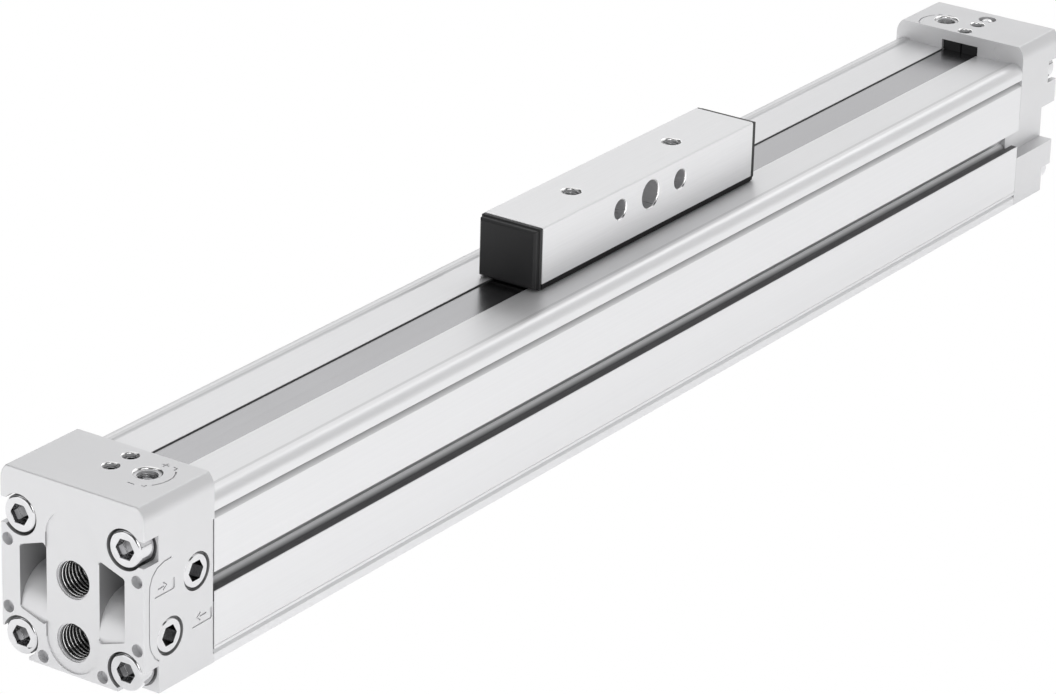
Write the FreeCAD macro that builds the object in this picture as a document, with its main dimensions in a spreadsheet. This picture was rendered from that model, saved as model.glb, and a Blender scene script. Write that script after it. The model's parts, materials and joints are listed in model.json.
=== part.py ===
import FreeCAD, Part
import math
import os
import re
import Sketcher

# Rodless pneumatic cylinder with a band-sealed slot, 25 mm bore and 250 mm stroke.
# X runs along the barrel from the ported end to the far end, Z is up.
# The origin is the middle of the underside. All sizes are in millimetres.

SIZES = {
    # Whole cylinder
    "body_width": 45,
    "cap_rise": 6.1,
    "near_cap_length": 27.4,
    "far_cap_length": 22.4,
    "piston_stroke": 250,
    "carriage_rest": 13.9,
    # Barrel section
    "land_height": 45.2,
    "bore_radius": 12.5,
    "bore_height": 20.5,
    "slot_width": 6,
    "rail_radius": 3,
    "rail_rise": 0.6,
    "rail_width": 4.5,
    "rail_flank": 0.6,
    "top_groove_drop": 6.2,
    "top_groove_height": 2,
    "top_groove_depth": 1.4,
    "foot_groove_bottom": 2.3,
    "foot_groove_height": 1.1,
    "foot_groove_depth": 0.9,
    "crease_height": 4.4,
    "crease_depth": 0.2,
    "sensor_slot_height": 21.9,
    "sensor_slot_mouth": 5.2,
    "sensor_slot_lip": 2.2,
    "sensor_slot_cavity": 9.6,
    "sensor_slot_depth": 5.8,
    "sensor_slot_taper": 2,
    "air_duct_radius": 2.5,
    "air_duct_offset": 8.5,
    "air_duct_height": 5,
    # Cover band, sealing band and the magnet strips that hold the cover band
    "cover_band_width": 11.3,
    "cover_band_thickness": 0.4,
    "cover_band_sink": 0.4,
    "cover_band_gap": 0.25,
    "seal_band_width": 9.2,
    "seal_band_rise": 0.85,
    "seal_band_gap": 0.05,
    "band_skin": 0.75,
    "magnet_strip_inset": 0.35,
    "magnet_strip_width": 1.4,
    "magnet_strip_height": 1.1,
    "magnet_strip_gap": 0.05,
    "band_lift": 4.5,
    "band_ramp": 14,
    "band_dip": 4.8,
    "band_margin": 1,
    # Screws that hold the end caps
    "cap_screw_inset": 6,
    "cap_screw_drop": 6.2,
    "cap_screw_radius": 3,
    "cap_screw_length": 45,
    "cap_screw_head": 5,
    "cap_screw_head_height": 6,
    "cap_screw_socket": 5,
    "cap_screw_fit": 0.05,
    "cap_screw_hole": 3.2,
    "head_seat_radius": 5.5,
    "head_seat_depth": 6.1,
    # End caps
    "cap_corner_run": 1.9,
    "cap_corner_drop": 4.2,
    "cap_edge": 0.4,
    "window_depth": 5.6,
    "window_height": 7,
    "window_inset": 6,
    "foot_window_height": 7.5,
    "foot_window_inset": 8.5,
    "pocket_inner": 8.3,
    "pocket_outer": 16.5,
    "pocket_floor": 11.2,
    "pocket_roof": 33.9,
    "pocket_slant": 2.8,
    "pocket_depth": 11,
    "pocket_corner": 0.9,
    "duct_boss_radius": 9.6,
    "duct_boss_inset": 10,
    "duct_boss_height": 14,
    "port_face_radius": 8.3,
    "port_face_bottom": 9.1,
    "port_face_top": 36,
    "port_face_depth": 0.4,
    "port_radius": 4.86,
    "port_mouth": 5.2,
    "port_mouth_depth": 0.9,
    "port_depth": 11,
    "port_height": 9,
    "port_spacing": 17,
    "dimple_radius": 1.7,
    "dimple_depth": 2,
    "dimple_inset": 2.2,
    "dimple_low": 13.1,
    "dimple_high": 31.5,
    "foot_dimple_offset": 9.4,
    "foot_dimple_height": 2.6,
    "spigot_length": 6,
    "spigot_gap": 0.05,
    "ring_groove_start": 2.2,
    "ring_groove_width": 2.2,
    "ring_groove_depth": 2,
    "ring_wire": 1.9,
    "gasket_thickness": 0.6,
    "gasket_foot": 2.4,
    "gasket_shoulder": 6.2,
    "gasket_drop": 1.8,
    "gasket_inset": 2.6,
    "gasket_gap": 0.3,
    "inner_window_rise": 3.1,
    "clamp_recess": 1,
    "near_clamp_length": 13,
    "far_clamp_length": 11.5,
    "clamp_gap": 0.1,
    "set_screw_radius": 2,
    "set_screw_length": 2.3,
    "set_screw_fit": 0.05,
    "set_screw_spacing": 7.6,
    "set_screw_socket": 2,
    "near_set_screw_inset": 4.6,
    "far_set_screw_inset": 2.9,
    "needle_hole_radius": 2.8,
    "needle_mouth": 3.4,
    "needle_mouth_depth": 0.6,
    "needle_offset": 9.8,
    "near_needle_inset": 17.3,
    "far_needle_inset": 14,
    "needle_sink": 2,
    "needle_length": 5,
    "needle_fit": 0.06,
    "needle_tip": 1.5,
    "needle_end_gap": 0.2,
    "needle_socket": 2.5,
    "side_plug_hole": 4.3,
    "side_plug_depth": 9,
    "side_plug_recess": 5.1,
    "side_plug_recess_depth": 1.2,
    "side_plug_head": 4.6,
    "side_plug_length": 7,
    "side_plug_fit": 0.05,
    "side_plug_socket": 5,
    "upper_plug_height": 27.5,
    "upper_plug_setback": 7,
    "lower_plug_height": 14,
    "lower_plug_inset": 10,
    "port_plug_length": 8,
    "port_plug_fit": 0.05,
    "port_plug_sink": 0.6,
    "sensor_groove_bottom": 15.4,
    "sensor_groove_top": 28.2,
    "sensor_groove_depth": 4.4,
    "ball_hole_inset": 5.7,
    "ball_hole_depth": 5.2,
    "ball_radius": 2.7,
    "ball_fit": 0.05,
    "ejector_mark_radius": 2.4,
    "ejector_mark_depth": 0.3,
    "ejector_mark_offset": 14.4,
    "ejector_mark_drop": 3.1,
    # Cushion sleeves
    "sleeve_radius": 4.5,
    "sleeve_bore": 2.5,
    "sleeve_reach": 25,
    "sleeve_root": 8,
    "sleeve_fit": 0.03,
    "sleeve_nose": 1.5,
    # Piston
    "piston_wall": 3.2,
    "piston_gap": 0.2,
    "end_gap": 0.9,
    "yoke_half_length": 32,
    "yoke_stub_radius": 5,
    "yoke_stub_length": 6,
    "stub_fit": 0.03,
    "cushion_bore": 6,
    "sleeve_clearance": 2,
    "cushion_seal_radius": 7.5,
    "cushion_seal_width": 2.4,
    "cushion_seal_inset": 1.2,
    "cushion_seal_gap": 0.06,
    "seal_inset": 6,
    "seal_width": 4,
    "seal_depth": 2.3,
    "seal_gap": 0.05,
    "magnet_inset": 12,
    "magnet_width": 5,
    "magnet_depth": 3,
    "wear_ring_inset": 4,
    "wear_ring_width": 5,
    "wear_ring_depth": 1.5,
    "neck_gap": 0.15,
    "neck_half_length": 20,
    "channel_margin": 0.9,
    "channel_height": 3.2,
    "channel_gap": 0.3,
    # Saddle that carries the carriage above the slot
    "saddle_overhang": 0.5,
    "saddle_clearance": 0.4,
    "saddle_skirt": 0.95,
    "saddle_beam_gap": 0.3,
    "saddle_beam_rise": 1.5,
    "saddle_gap": 0.1,
    "yoke_screw_radius": 0.8,
    "yoke_screw_length": 6.5,
    "yoke_screw_head": 1.3,
    "yoke_screw_row_length": 32,
    "yoke_screw_inset": 2.4,
    "yoke_screw_fit": 0.05,
    # Carriage
    "carriage_length": 105.4,
    "carriage_width": 19.6,
    "carriage_height": 16.3,
    "carriage_float": 1.8,
    "carriage_edge": 0.35,
    "band_clearance": 0.65,
    "carriage_channel_height": 5.4,
    "top_hole_radius": 2.5,
    "top_hole_depth": 8,
    "top_hole_spacing": 50,
    "side_hole_radius": 2.75,
    "side_hole_spacing": 30,
    "centre_hole_radius": 4,
    "side_hole_rise": 10.2,
    "strip_height": 1.5,
    "strip_end": 1.5,
    "strip_lap": 0.1,
    "end_cap_slab": 1.2,
    "end_cap_block": 1.8,
    "end_cap_margin": 0.15,
    "end_cap_step": 0.45,
    "end_cap_bevel": 0.6,
    "end_cap_clearance": 0.3,
    "end_cap_lip": 0.4,
    "end_cap_lip_width": 11,
    "end_cap_tongue": 2,
    "guide_length": 13,
    "guide_clearance": 0.3,
}

doc = FreeCAD.newDocument("RodlessCylinder")
sheet = doc.addObject("Spreadsheet::Sheet", "Sizes")
for row, (alias, size) in enumerate(SIZES.items(), start=1):
    cell = "A%d" % row
    sheet.set(cell, str(size))
    sheet.setAlias(cell, alias)
doc.recompute()

sub_parts = []


# Reading sizes and binding expressions to the sheet

def bound(expression):
    """The expression with every size in it read from the sheet."""
    return re.sub(
        r"[a-z][a-z0-9_]*",
        lambda word: "Sizes." + word[0] if word[0] in SIZES else word[0],
        expression,
    )


def number(expression):
    """What the expression comes to now."""
    return float(sheet.evalExpression(bound(expression)))


def minus(expression):
    """The same distance on the other side."""
    return expression if expression == "0" else "-(%s)" % expression


# Values that several pieces share, worked out from the sheet's sizes

CUSHION_DEPTH = "(sleeve_reach + sleeve_clearance)"
PISTON_HALF = "(yoke_half_length + yoke_stub_length + piston_wall + %s)" % CUSHION_DEPTH
BARREL_LENGTH = "(piston_stroke + (%s + spigot_length + end_gap) * 2)" % PISTON_HALF
HALF = "((%s + near_cap_length + far_cap_length) / 2)" % BARREL_LENGTH
HALF_WIDTH = "body_width / 2"
BARREL_START = "-%s + near_cap_length" % HALF
BARREL_END = "%s - far_cap_length" % HALF
CAP_TOP = "(land_height + cap_rise)"
GROOVE_BOTTOM = "(land_height - top_groove_drop)"
SEAT_HALF = "(cover_band_width / 2 + cover_band_gap)"
BAND_BOTTOM = "(land_height - cover_band_sink - cover_band_thickness)"
BAND_TOP = "(land_height - cover_band_sink)"
SEAL_TOP = "(bore_height + bore_radius + seal_band_rise)"
STRIP_OUTER = "(cover_band_width / 2 - magnet_strip_inset)"
STRIP_INNER = "(%s - magnet_strip_width)" % STRIP_OUTER
CHANNEL_HALF = "(cover_band_width / 2 + band_clearance)"
SCREW_HALF = "(body_width / 2 - cap_screw_inset)"
SCREW_BASE = "cap_screw_inset"
SCREW_TOP = "(land_height - cap_screw_drop)"
DIMPLE_HALF = "(body_width / 2 - dimple_inset)"
WINDOW_TOP = "(%s + inner_window_rise + cover_band_gap)" % BAND_TOP
PISTON_RADIUS = "(bore_radius - piston_gap)"
SADDLE_BOTTOM = "(land_height + saddle_clearance)"
SADDLE_HALF = "(neck_half_length + saddle_overhang)"
CARRIAGE_BOTTOM = "(land_height + carriage_float)"
CARRIAGE_TOP = "(%s + carriage_height)" % CARRIAGE_BOTTOM
SIDE_HOLE = "(%s + side_hole_rise)" % CARRIAGE_BOTTOM
CHANNEL_TOP = "(%s + carriage_channel_height)" % CARRIAGE_BOTTOM
YOKE_SCREW_SIDE = "(carriage_width / 2 - yoke_screw_inset)"
SLOT_TIP = "(%s - sensor_slot_depth)" % HALF_WIDTH


# Sketches

def origin_feature(body, role):
    """A plane or an axis of the body's own origin."""
    return next(item for item in body.Origin.OriginFeatures if item.Role == role)


def add_body(label, compound=False):
    body = doc.addObject("PartDesign::Body", label)
    body.Label = label
    body.AllowCompound = compound
    sub_parts.append(body)
    return body


def add_sketch(body, name, plane, offset="0"):
    """A sketch on one of the body's origin planes, moved along the plane's normal."""
    sketch = body.newObject("Sketcher::SketchObject", name)
    sketch.AttachmentSupport = [(origin_feature(body, plane), "")]
    sketch.MapMode = "FlatFace"
    sketch.setExpression("AttachmentOffset.Base.z", bound(offset))
    return sketch


def fix(sketch, kind, geometry, point, expression):
    """Fix one coordinate of a point from the sketch's origin."""
    if expression == "0":
        axis = -2 if kind == "DistanceX" else -1
        sketch.addConstraint(Sketcher.Constraint("PointOnObject", geometry, point, axis))
        return
    rule = Sketcher.Constraint(kind, -1, 1, geometry, point, number(expression))
    index = sketch.addConstraint(rule)
    sketch.setExpression("Constraints[%d]" % index, bound(expression))


def add_circle(sketch, across, up, radius):
    centre = FreeCAD.Vector(number(across), number(up), 0)
    circle = Part.Circle(centre, FreeCAD.Vector(0, 0, 1), number(radius))
    geometry = sketch.addGeometry(circle, False)
    index = sketch.addConstraint(Sketcher.Constraint("Radius", geometry, number(radius)))
    sketch.setExpression("Constraints[%d]" % index, bound(radius))
    fix(sketch, "DistanceX", geometry, 3, across)
    fix(sketch, "DistanceY", geometry, 3, up)


def add_outline(sketch, points):
    """A closed outline, counter-clockwise. A point that also names a centre starts a round
    corner about it, which ends at the next point."""
    places = [FreeCAD.Vector(number(point[0]), number(point[1]), 0) for point in points]
    edges = []
    for index, point in enumerate(points):
        start = places[index]
        end = places[(index + 1) % len(points)]
        if len(point) == 4:
            centre = FreeCAD.Vector(number(point[2]), number(point[3]), 0)
            circle = Part.Circle(centre, FreeCAD.Vector(0, 0, 1), start.distanceToPoint(centre))
            first = circle.parameter(start)
            last = circle.parameter(end)
            if last < first + 1e-6:
                last += 2 * math.pi
            edges.append(sketch.addGeometry(Part.ArcOfCircle(circle, first, last), False))
        else:
            edges.append(sketch.addGeometry(Part.LineSegment(start, end), False))
    for index, edge in enumerate(edges):
        following = edges[(index + 1) % len(edges)]
        sketch.addConstraint(Sketcher.Constraint("Coincident", edge, 2, following, 1))
    for index, point in enumerate(points):
        fix(sketch, "DistanceX", edges[index], 1, point[0])
        fix(sketch, "DistanceY", edges[index], 1, point[1])
        if len(point) == 4:
            level = abs(places[index].y - places[(index + 1) % len(points)].y) < 1e-6
            kind, middle = ("DistanceY", point[3]) if level else ("DistanceX", point[2])
            fix(sketch, kind, edges[index], 3, middle)


def add_rectangle(sketch, left, right, low, high):
    add_outline(sketch, [(left, low), (right, low), (right, high), (left, high)])


def add_pair_of_rectangles(sketch, near, far, low, high):
    """The same rectangle on both sides of the middle plane."""
    add_rectangle(sketch, near, far, low, high)
    add_rectangle(sketch, minus(far), minus(near), low, high)


def mirrored(points):
    """A half outline on the +Y side, completed by its mirror image."""
    return points + [(minus(point[0]), point[1]) for point in reversed(points)]


# Solid features

def check_change(body, before, name, grows):
    change = body.Shape.Volume - before
    if (grows and change < 1e-4) or (not grows and change > -1e-4):
        raise RuntimeError("%s in %s changed nothing" % (name, body.Label))


def volume_of(body):
    return 0.0 if body.Shape.isNull() else body.Shape.Volume


def add_pad(body, sketch, name, length, middle=False):
    doc.recompute()
    before = volume_of(body)
    pad = body.newObject("PartDesign::Pad", name)
    pad.Profile = sketch
    pad.setExpression("Length", bound(length))
    pad.Midplane = middle
    doc.recompute()
    check_change(body, before, name, True)
    return pad


def add_pocket(body, sketch, name, depth=None, along_normal=False, middle=False):
    """A pocket against the sketch's normal, or along it. No depth cuts right through."""
    doc.recompute()
    before = volume_of(body)
    pocket = body.newObject("PartDesign::Pocket", name)
    pocket.Profile = sketch
    pocket.Reversed = along_normal
    pocket.Midplane = middle
    if depth is None:
        pocket.Type = "ThroughAll"
    else:
        pocket.setExpression("Length", bound(depth))
    doc.recompute()
    check_change(body, before, name, False)
    return pocket


def add_turning(body, name, points, plane="XZ_Plane", axis="X_Axis"):
    """A solid turned from a half section about one of the body's axes."""
    sketch = add_sketch(body, name + "_section", plane)
    add_outline(sketch, points)
    turning = body.newObject("PartDesign::Revolution", name)
    turning.Profile = sketch
    turning.ReferenceAxis = (origin_feature(body, axis), [""])
    turning.Angle = 360
    doc.recompute()
    return turning


def add_hexagon(sketch, across, up, flats):
    """A hexagon socket's outline, with its flats facing up and down."""
    corner = "(%s / 2 / cos(30))" % flats
    half = "(%s / 2)" % corner
    flat = "(%s / 2)" % flats
    add_outline(sketch, [
        ("%s + %s" % (across, corner), up),
        ("%s + %s" % (across, half), "%s + %s" % (up, flat)),
        ("%s - %s" % (across, half), "%s + %s" % (up, flat)),
        ("%s - %s" % (across, corner), up),
        ("%s - %s" % (across, half), "%s - %s" % (up, flat)),
        ("%s + %s" % (across, half), "%s - %s" % (up, flat)),
    ])


def repeat(body, name, first, first_length, second=None, second_length=None):
    """The finished body repeated once along one axis, or along two."""
    pattern = body.newObject("PartDesign::LinearPattern", name)
    pattern.TransformMode = "Whole shape"
    pattern.Direction = (origin_feature(body, first), [""])
    pattern.setExpression("Length", bound(first_length))
    pattern.Occurrences = 2
    if second:
        pattern.Direction2 = (origin_feature(body, second), [""])
        pattern.setExpression("Length2", bound(second_length))
        pattern.Occurrences2 = 2
    body.Tip = pattern
    doc.recompute()
    return pattern


def round_edges(body, base, kind, name, size, wanted):
    """A fillet or a chamfer on the edges of the last feature that the test picks."""
    edges = ["Edge%d" % (index + 1) for index, edge in enumerate(base.Shape.Edges) if wanted(edge)]
    feature = body.newObject("PartDesign::" + kind, name)
    feature.Base = (base, edges)
    feature.setExpression("Radius" if kind == "Fillet" else "Size", bound(size))
    doc.recompute()
    return feature


def edge_at(edge, axis, value):
    """Whether the whole edge lies in the plane where this coordinate has this value."""
    box = edge.BoundBox
    low = (box.XMin, box.YMin, box.ZMin)[axis]
    high = (box.XMax, box.YMax, box.ZMax)[axis]
    return abs(low - value) < 1e-4 and abs(high - value) < 1e-4


def place(body, across="0", side="0", up="0", turned=False):
    """Set a sub-part in the cylinder's frame, turned half round the vertical if asked."""
    if turned:
        body.Placement.Rotation = FreeCAD.Rotation(FreeCAD.Vector(0, 0, 1), 180)
    for axis, expression in zip("xyz", (across, side, up)):
        body.setExpression("Placement.Base." + axis, bound(expression))


# Barrel

def build_barrel():
    """Extruded barrel: bore, top slot, band seats, sensor slots, clamping grooves, ducts."""
    body = add_body("barrel_profile")
    rail_top = "land_height + rail_rise"
    rail_centre = "land_height + rail_rise - rail_radius"
    inner = "%s - rail_width" % HALF_WIDTH
    groove_top = "%s + top_groove_height" % GROOVE_BOTTOM
    foot_top = "foot_groove_bottom + foot_groove_height"
    crease = "%s - crease_depth" % HALF_WIDTH
    right = [
        (HALF_WIDTH, "0"),
        (HALF_WIDTH, "foot_groove_bottom"),
        ("%s - foot_groove_depth" % HALF_WIDTH, "foot_groove_bottom + foot_groove_height * 0.7"),
        (HALF_WIDTH, foot_top),
        (HALF_WIDTH, "crease_height - crease_depth"),
        (crease, "crease_height"),
        (HALF_WIDTH, "crease_height + crease_depth"),
        (HALF_WIDTH, GROOVE_BOTTOM),
        (
            "%s - top_groove_depth" % HALF_WIDTH,
            "%s + top_groove_height * 0.65" % GROOVE_BOTTOM,
        ),
        (HALF_WIDTH, groove_top),
        (HALF_WIDTH, rail_centre, "%s - rail_radius" % HALF_WIDTH, rail_centre),
        ("%s - rail_radius" % HALF_WIDTH, rail_top),
        (inner, rail_top),
        ("%s - rail_flank" % inner, "land_height"),
    ]
    left = [(minus(point[0]), point[1]) for point in reversed(right)]
    arc_start = left[2]
    left[2] = arc_start + (minus("%s - rail_radius" % HALF_WIDTH), rail_centre)
    section = add_sketch(body, "section", "YZ_Plane", BARREL_START)
    add_outline(section, right + left)
    add_pad(body, section, "extrusion", BARREL_LENGTH)

    bore = add_sketch(body, "bore_circle", "YZ_Plane", BARREL_START)
    add_circle(bore, "0", "bore_height", "bore_radius")
    add_pocket(body, bore, "bore", along_normal=True)

    slot = add_sketch(body, "slot_outline", "YZ_Plane", BARREL_START)
    slot_half = "slot_width / 2"
    seal_half = "(seal_band_width / 2 + seal_band_gap * 2)"
    seal_roof = SEAL_TOP + " + seal_band_gap"
    add_outline(slot, [
        (minus(seal_half), "bore_height + bore_radius * 0.85"),
        (seal_half, "bore_height + bore_radius * 0.85"),
        (seal_half, seal_roof),
        (slot_half, seal_roof),
        (slot_half, BAND_BOTTOM),
        (SEAT_HALF, BAND_BOTTOM),
        (SEAT_HALF, CAP_TOP),
        (minus(SEAT_HALF), CAP_TOP),
        (minus(SEAT_HALF), BAND_BOTTOM),
        (minus(slot_half), BAND_BOTTOM),
        (minus(slot_half), seal_roof),
        (minus(seal_half), seal_roof),
    ])
    add_pocket(body, slot, "slot", along_normal=True)

    strips = add_sketch(body, "strip_grooves_outline", "YZ_Plane", BARREL_START)
    add_pair_of_rectangles(
        strips,
        STRIP_INNER + " - magnet_strip_gap",
        STRIP_OUTER + " + magnet_strip_gap",
        "%s - magnet_strip_height - magnet_strip_gap * 2" % BAND_BOTTOM,
        "land_height",
    )
    add_pocket(body, strips, "strip_grooves", along_normal=True)

    sensor_slots = add_sketch(body, "sensor_slots_outline", "YZ_Plane", BARREL_START)
    mouth = "sensor_slot_mouth / 2"
    cavity = "sensor_slot_cavity / 2"
    lip = "%s - sensor_slot_lip" % HALF_WIDTH
    half = [
        ("body_width", "sensor_slot_height - " + mouth),
        ("body_width", "sensor_slot_height + " + mouth),
        (lip, "sensor_slot_height + " + mouth),
        (lip, "sensor_slot_height + " + cavity),
        (SLOT_TIP + " + sensor_slot_taper", "sensor_slot_height + " + cavity),
        (SLOT_TIP, "sensor_slot_height + %s - sensor_slot_taper" % cavity),
        (SLOT_TIP, "sensor_slot_height - %s + sensor_slot_taper" % cavity),
        (SLOT_TIP + " + sensor_slot_taper", "sensor_slot_height - " + cavity),
        (lip, "sensor_slot_height - " + cavity),
        (lip, "sensor_slot_height - " + mouth),
    ]
    add_outline(sensor_slots, half)
    add_outline(sensor_slots, [(minus(point[0]), point[1]) for point in reversed(half)])
    add_pocket(body, sensor_slots, "sensor_slots", along_normal=True)

    channels = add_sketch(body, "channel_circles", "YZ_Plane", BARREL_START)
    for side in (SCREW_HALF, minus(SCREW_HALF)):
        for height in (SCREW_BASE, SCREW_TOP):
            add_circle(channels, side, height, "cap_screw_radius")
    for side in ("air_duct_offset", "-air_duct_offset"):
        add_circle(channels, side, "air_duct_height", "air_duct_radius")
    add_pocket(body, channels, "screw_channels_and_ducts", along_normal=True)


# End caps

def build_cap(end):
    """Die-cast end cap, built with its outer face at x = 0 and its inner face to +X."""
    length = end + "_cap_length"
    needle_inset = end + "_needle_inset"
    body = add_body(end + "_end_cap")

    corner_centre = "%s - cap_corner_drop" % CAP_TOP
    corner_side = "(%s - cap_corner_run)" % HALF_WIDTH
    corner_middle = "(%s - (cap_corner_run ^ 2 + cap_corner_drop ^ 2) / (2 * cap_corner_run))" % HALF_WIDTH
    section = add_sketch(body, "section", "YZ_Plane")
    add_outline(section, [
        (minus(HALF_WIDTH), "0"),
        (HALF_WIDTH, "0"),
        (HALF_WIDTH, corner_centre, corner_middle, corner_centre),
        (corner_side, CAP_TOP),
        (minus(corner_side), CAP_TOP, minus(corner_middle), corner_centre),
        (minus(HALF_WIDTH), corner_centre),
    ])
    block = add_pad(body, section, "block", length)
    round_edges(body, block, "Fillet", "face_edges", "cap_edge", lambda edge: edge_at(edge, 0, 0))

    hollows = add_sketch(body, "hollow_outlines", "YZ_Plane")
    hollow = [
        ("pocket_inner", "pocket_floor"),
        ("pocket_outer", "pocket_floor + pocket_slant"),
        ("pocket_outer", "pocket_roof - pocket_slant"),
        ("pocket_inner", "pocket_roof"),
    ]
    add_outline(hollows, hollow)
    add_outline(hollows, [(minus(point[0]), point[1]) for point in reversed(hollow)])
    hollow_cut = add_pocket(body, hollows, "hollows", "pocket_depth", along_normal=True)
    inside = number(HALF_WIDTH) - 1
    round_edges(
        body, hollow_cut, "Fillet", "hollow_corners", "pocket_corner",
        lambda edge: edge.BoundBox.XLength > number("pocket_depth") - 0.5
        and abs(edge.BoundBox.Center.y) < inside
        and edge.BoundBox.YLength < 0.01,
    )

    boss = add_sketch(body, "duct_boss_circle", "XZ_Plane")
    add_circle(boss, "duct_boss_inset", "duct_boss_height", "duct_boss_radius")
    add_pad(body, boss, "duct_boss", "pocket_outer * 2 - 0.1", middle=True)

    spigot = add_sketch(body, "spigot_circle", "YZ_Plane", length)
    add_circle(spigot, "0", "bore_height", "bore_radius - spigot_gap")
    add_pad(body, spigot, "spigot", "spigot_length")

    seats = add_sketch(body, "head_seat_circles", "YZ_Plane")
    shanks = add_sketch(body, "screw_hole_circles", "YZ_Plane")
    for side in (SCREW_HALF, minus(SCREW_HALF)):
        for height in (SCREW_BASE, SCREW_TOP):
            add_circle(seats, side, height, "head_seat_radius")
            add_circle(shanks, side, height, "cap_screw_hole")
    add_pocket(body, seats, "head_seats", "head_seat_depth", along_normal=True)
    add_pocket(body, shanks, "screw_holes", along_normal=True)

    windows = add_sketch(body, "window_outlines", "YZ_Plane")
    add_pair_of_rectangles(
        windows,
        "%s - window_inset" % HALF_WIDTH,
        "body_width",
        "%s - window_height / 2" % SCREW_TOP,
        "%s + window_height / 2" % SCREW_TOP,
    )
    add_pair_of_rectangles(
        windows,
        "%s - foot_window_inset" % HALF_WIDTH,
        "body_width",
        "-foot_window_height",
        "foot_window_height",
    )
    add_pocket(body, windows, "corner_windows", "window_depth", along_normal=True)

    face = add_sketch(body, "port_face_outline", "YZ_Plane")
    add_outline(face, [
        ("port_face_radius", "port_face_bottom"),
        ("port_face_radius", "port_face_top", "0", "port_face_top"),
        ("-port_face_radius", "port_face_top"),
        ("-port_face_radius", "port_face_bottom", "0", "port_face_bottom"),
    ])
    add_pocket(body, face, "port_face", "port_face_depth", along_normal=True)

    mouths = add_sketch(body, "port_mouth_circles", "YZ_Plane")
    ports = add_sketch(body, "port_circles", "YZ_Plane")
    for height in ("port_height", "port_height + port_spacing"):
        add_circle(mouths, "0", height, "port_mouth")
        add_circle(ports, "0", height, "port_radius")
    add_pocket(body, mouths, "port_mouths", "port_mouth_depth", along_normal=True)
    add_pocket(body, ports, "ports", "port_depth", along_normal=True)

    dimples = add_sketch(body, "dimple_circles", "YZ_Plane")
    for side in (DIMPLE_HALF, minus(DIMPLE_HALF)):
        add_circle(dimples, side, "dimple_low", "dimple_radius")
        add_circle(dimples, side, "dimple_high", "dimple_radius")
    for side in ("foot_dimple_offset", "-foot_dimple_offset"):
        add_circle(dimples, side, "foot_dimple_height", "dimple_radius")
    add_pocket(body, dimples, "dimples", "dimple_depth", along_normal=True)

    groove = add_sketch(body, "ring_groove_circles", "YZ_Plane", length + " + ring_groove_start")
    add_circle(groove, "0", "bore_height", "bore_radius + 1")
    add_circle(groove, "0", "bore_height", "bore_radius - ring_groove_depth")
    add_pocket(body, groove, "ring_groove", "ring_groove_width", along_normal=True)

    socket = add_sketch(body, "sleeve_socket_circle", "YZ_Plane", length + " + spigot_length")
    add_circle(socket, "0", "bore_height", "sleeve_radius")
    add_pocket(body, socket, "sleeve_socket", "sleeve_root")

    window = add_sketch(body, "inner_window_outline", "YZ_Plane", length)
    add_rectangle(
        window,
        minus(CHANNEL_HALF),
        CHANNEL_HALF,
        BAND_BOTTOM,
        WINDOW_TOP,
    )
    window_depth = "clamp_recess + %s_clamp_length + clamp_gap" % end
    add_pocket(body, window, "inner_window", window_depth)

    rebate = add_sketch(body, "gasket_seat_outline", "YZ_Plane", length + " - gasket_thickness")
    open_side = "body_width" if end == "near" else "%s - gasket_inset" % HALF_WIDTH
    inner_side = "%s - gasket_inset" % HALF_WIDTH
    if end == "near":
        outline = mirrored([
            (open_side, "gasket_foot"),
            (open_side, "land_height - gasket_shoulder"),
            (inner_side, "land_height - gasket_shoulder"),
            (inner_side, "land_height - gasket_drop"),
        ])
    else:
        notch_side = SLOT_TIP + " - gasket_gap"
        outline = mirrored([
            (inner_side, "gasket_foot"),
            (inner_side, "sensor_groove_bottom"),
            (notch_side, "sensor_groove_bottom"),
            (notch_side, "sensor_groove_top"),
            (inner_side, "sensor_groove_top"),
            (inner_side, "land_height - gasket_drop"),
        ])
    add_outline(rebate, outline)
    add_circle(rebate, "0", "bore_height", "bore_radius - spigot_gap")
    add_pocket(body, rebate, "gasket_seat", "gasket_thickness", along_normal=True)

    set_holes = add_sketch(body, "set_screw_circles", "XY_Plane", CAP_TOP)
    set_place = "%s - %s_set_screw_inset" % (length, end)
    add_circle(set_holes, set_place, "0", "set_screw_radius")
    add_circle(set_holes, set_place + " - set_screw_spacing", "0", "set_screw_radius")
    add_pocket(body, set_holes, "set_screw_holes", "%s - %s + clamp_gap" % (CAP_TOP, WINDOW_TOP))

    mouth = add_sketch(body, "needle_mouth_circle", "XY_Plane", CAP_TOP)
    add_circle(mouth, needle_inset, "-needle_offset", "needle_mouth")
    add_pocket(body, mouth, "needle_mouth", "needle_mouth_depth")
    needle = add_sketch(body, "needle_circle", "XY_Plane", CAP_TOP)
    add_circle(needle, needle_inset, "-needle_offset", "needle_hole_radius")
    needle_depth = "needle_sink + needle_length + needle_tip + needle_end_gap"
    add_pocket(body, needle, "needle_hole", needle_depth)

    plug_recess = add_sketch(body, "plug_recess_circles", "XZ_Plane", HALF_WIDTH)
    plug_holes = add_sketch(body, "plug_hole_circles", "XZ_Plane", HALF_WIDTH)
    for across, up in plug_places(length):
        add_circle(plug_recess, across, up, "side_plug_recess")
        add_circle(plug_holes, across, up, "side_plug_hole")
    add_pocket(body, plug_recess, "plug_recesses", "side_plug_recess_depth")
    add_pocket(body, plug_holes, "plug_holes", "side_plug_depth")

    if end == "near":
        place(body, across=minus(HALF))
    else:
        finish_far_cap(body, length)
        place(body, across=HALF, turned=True)


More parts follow.
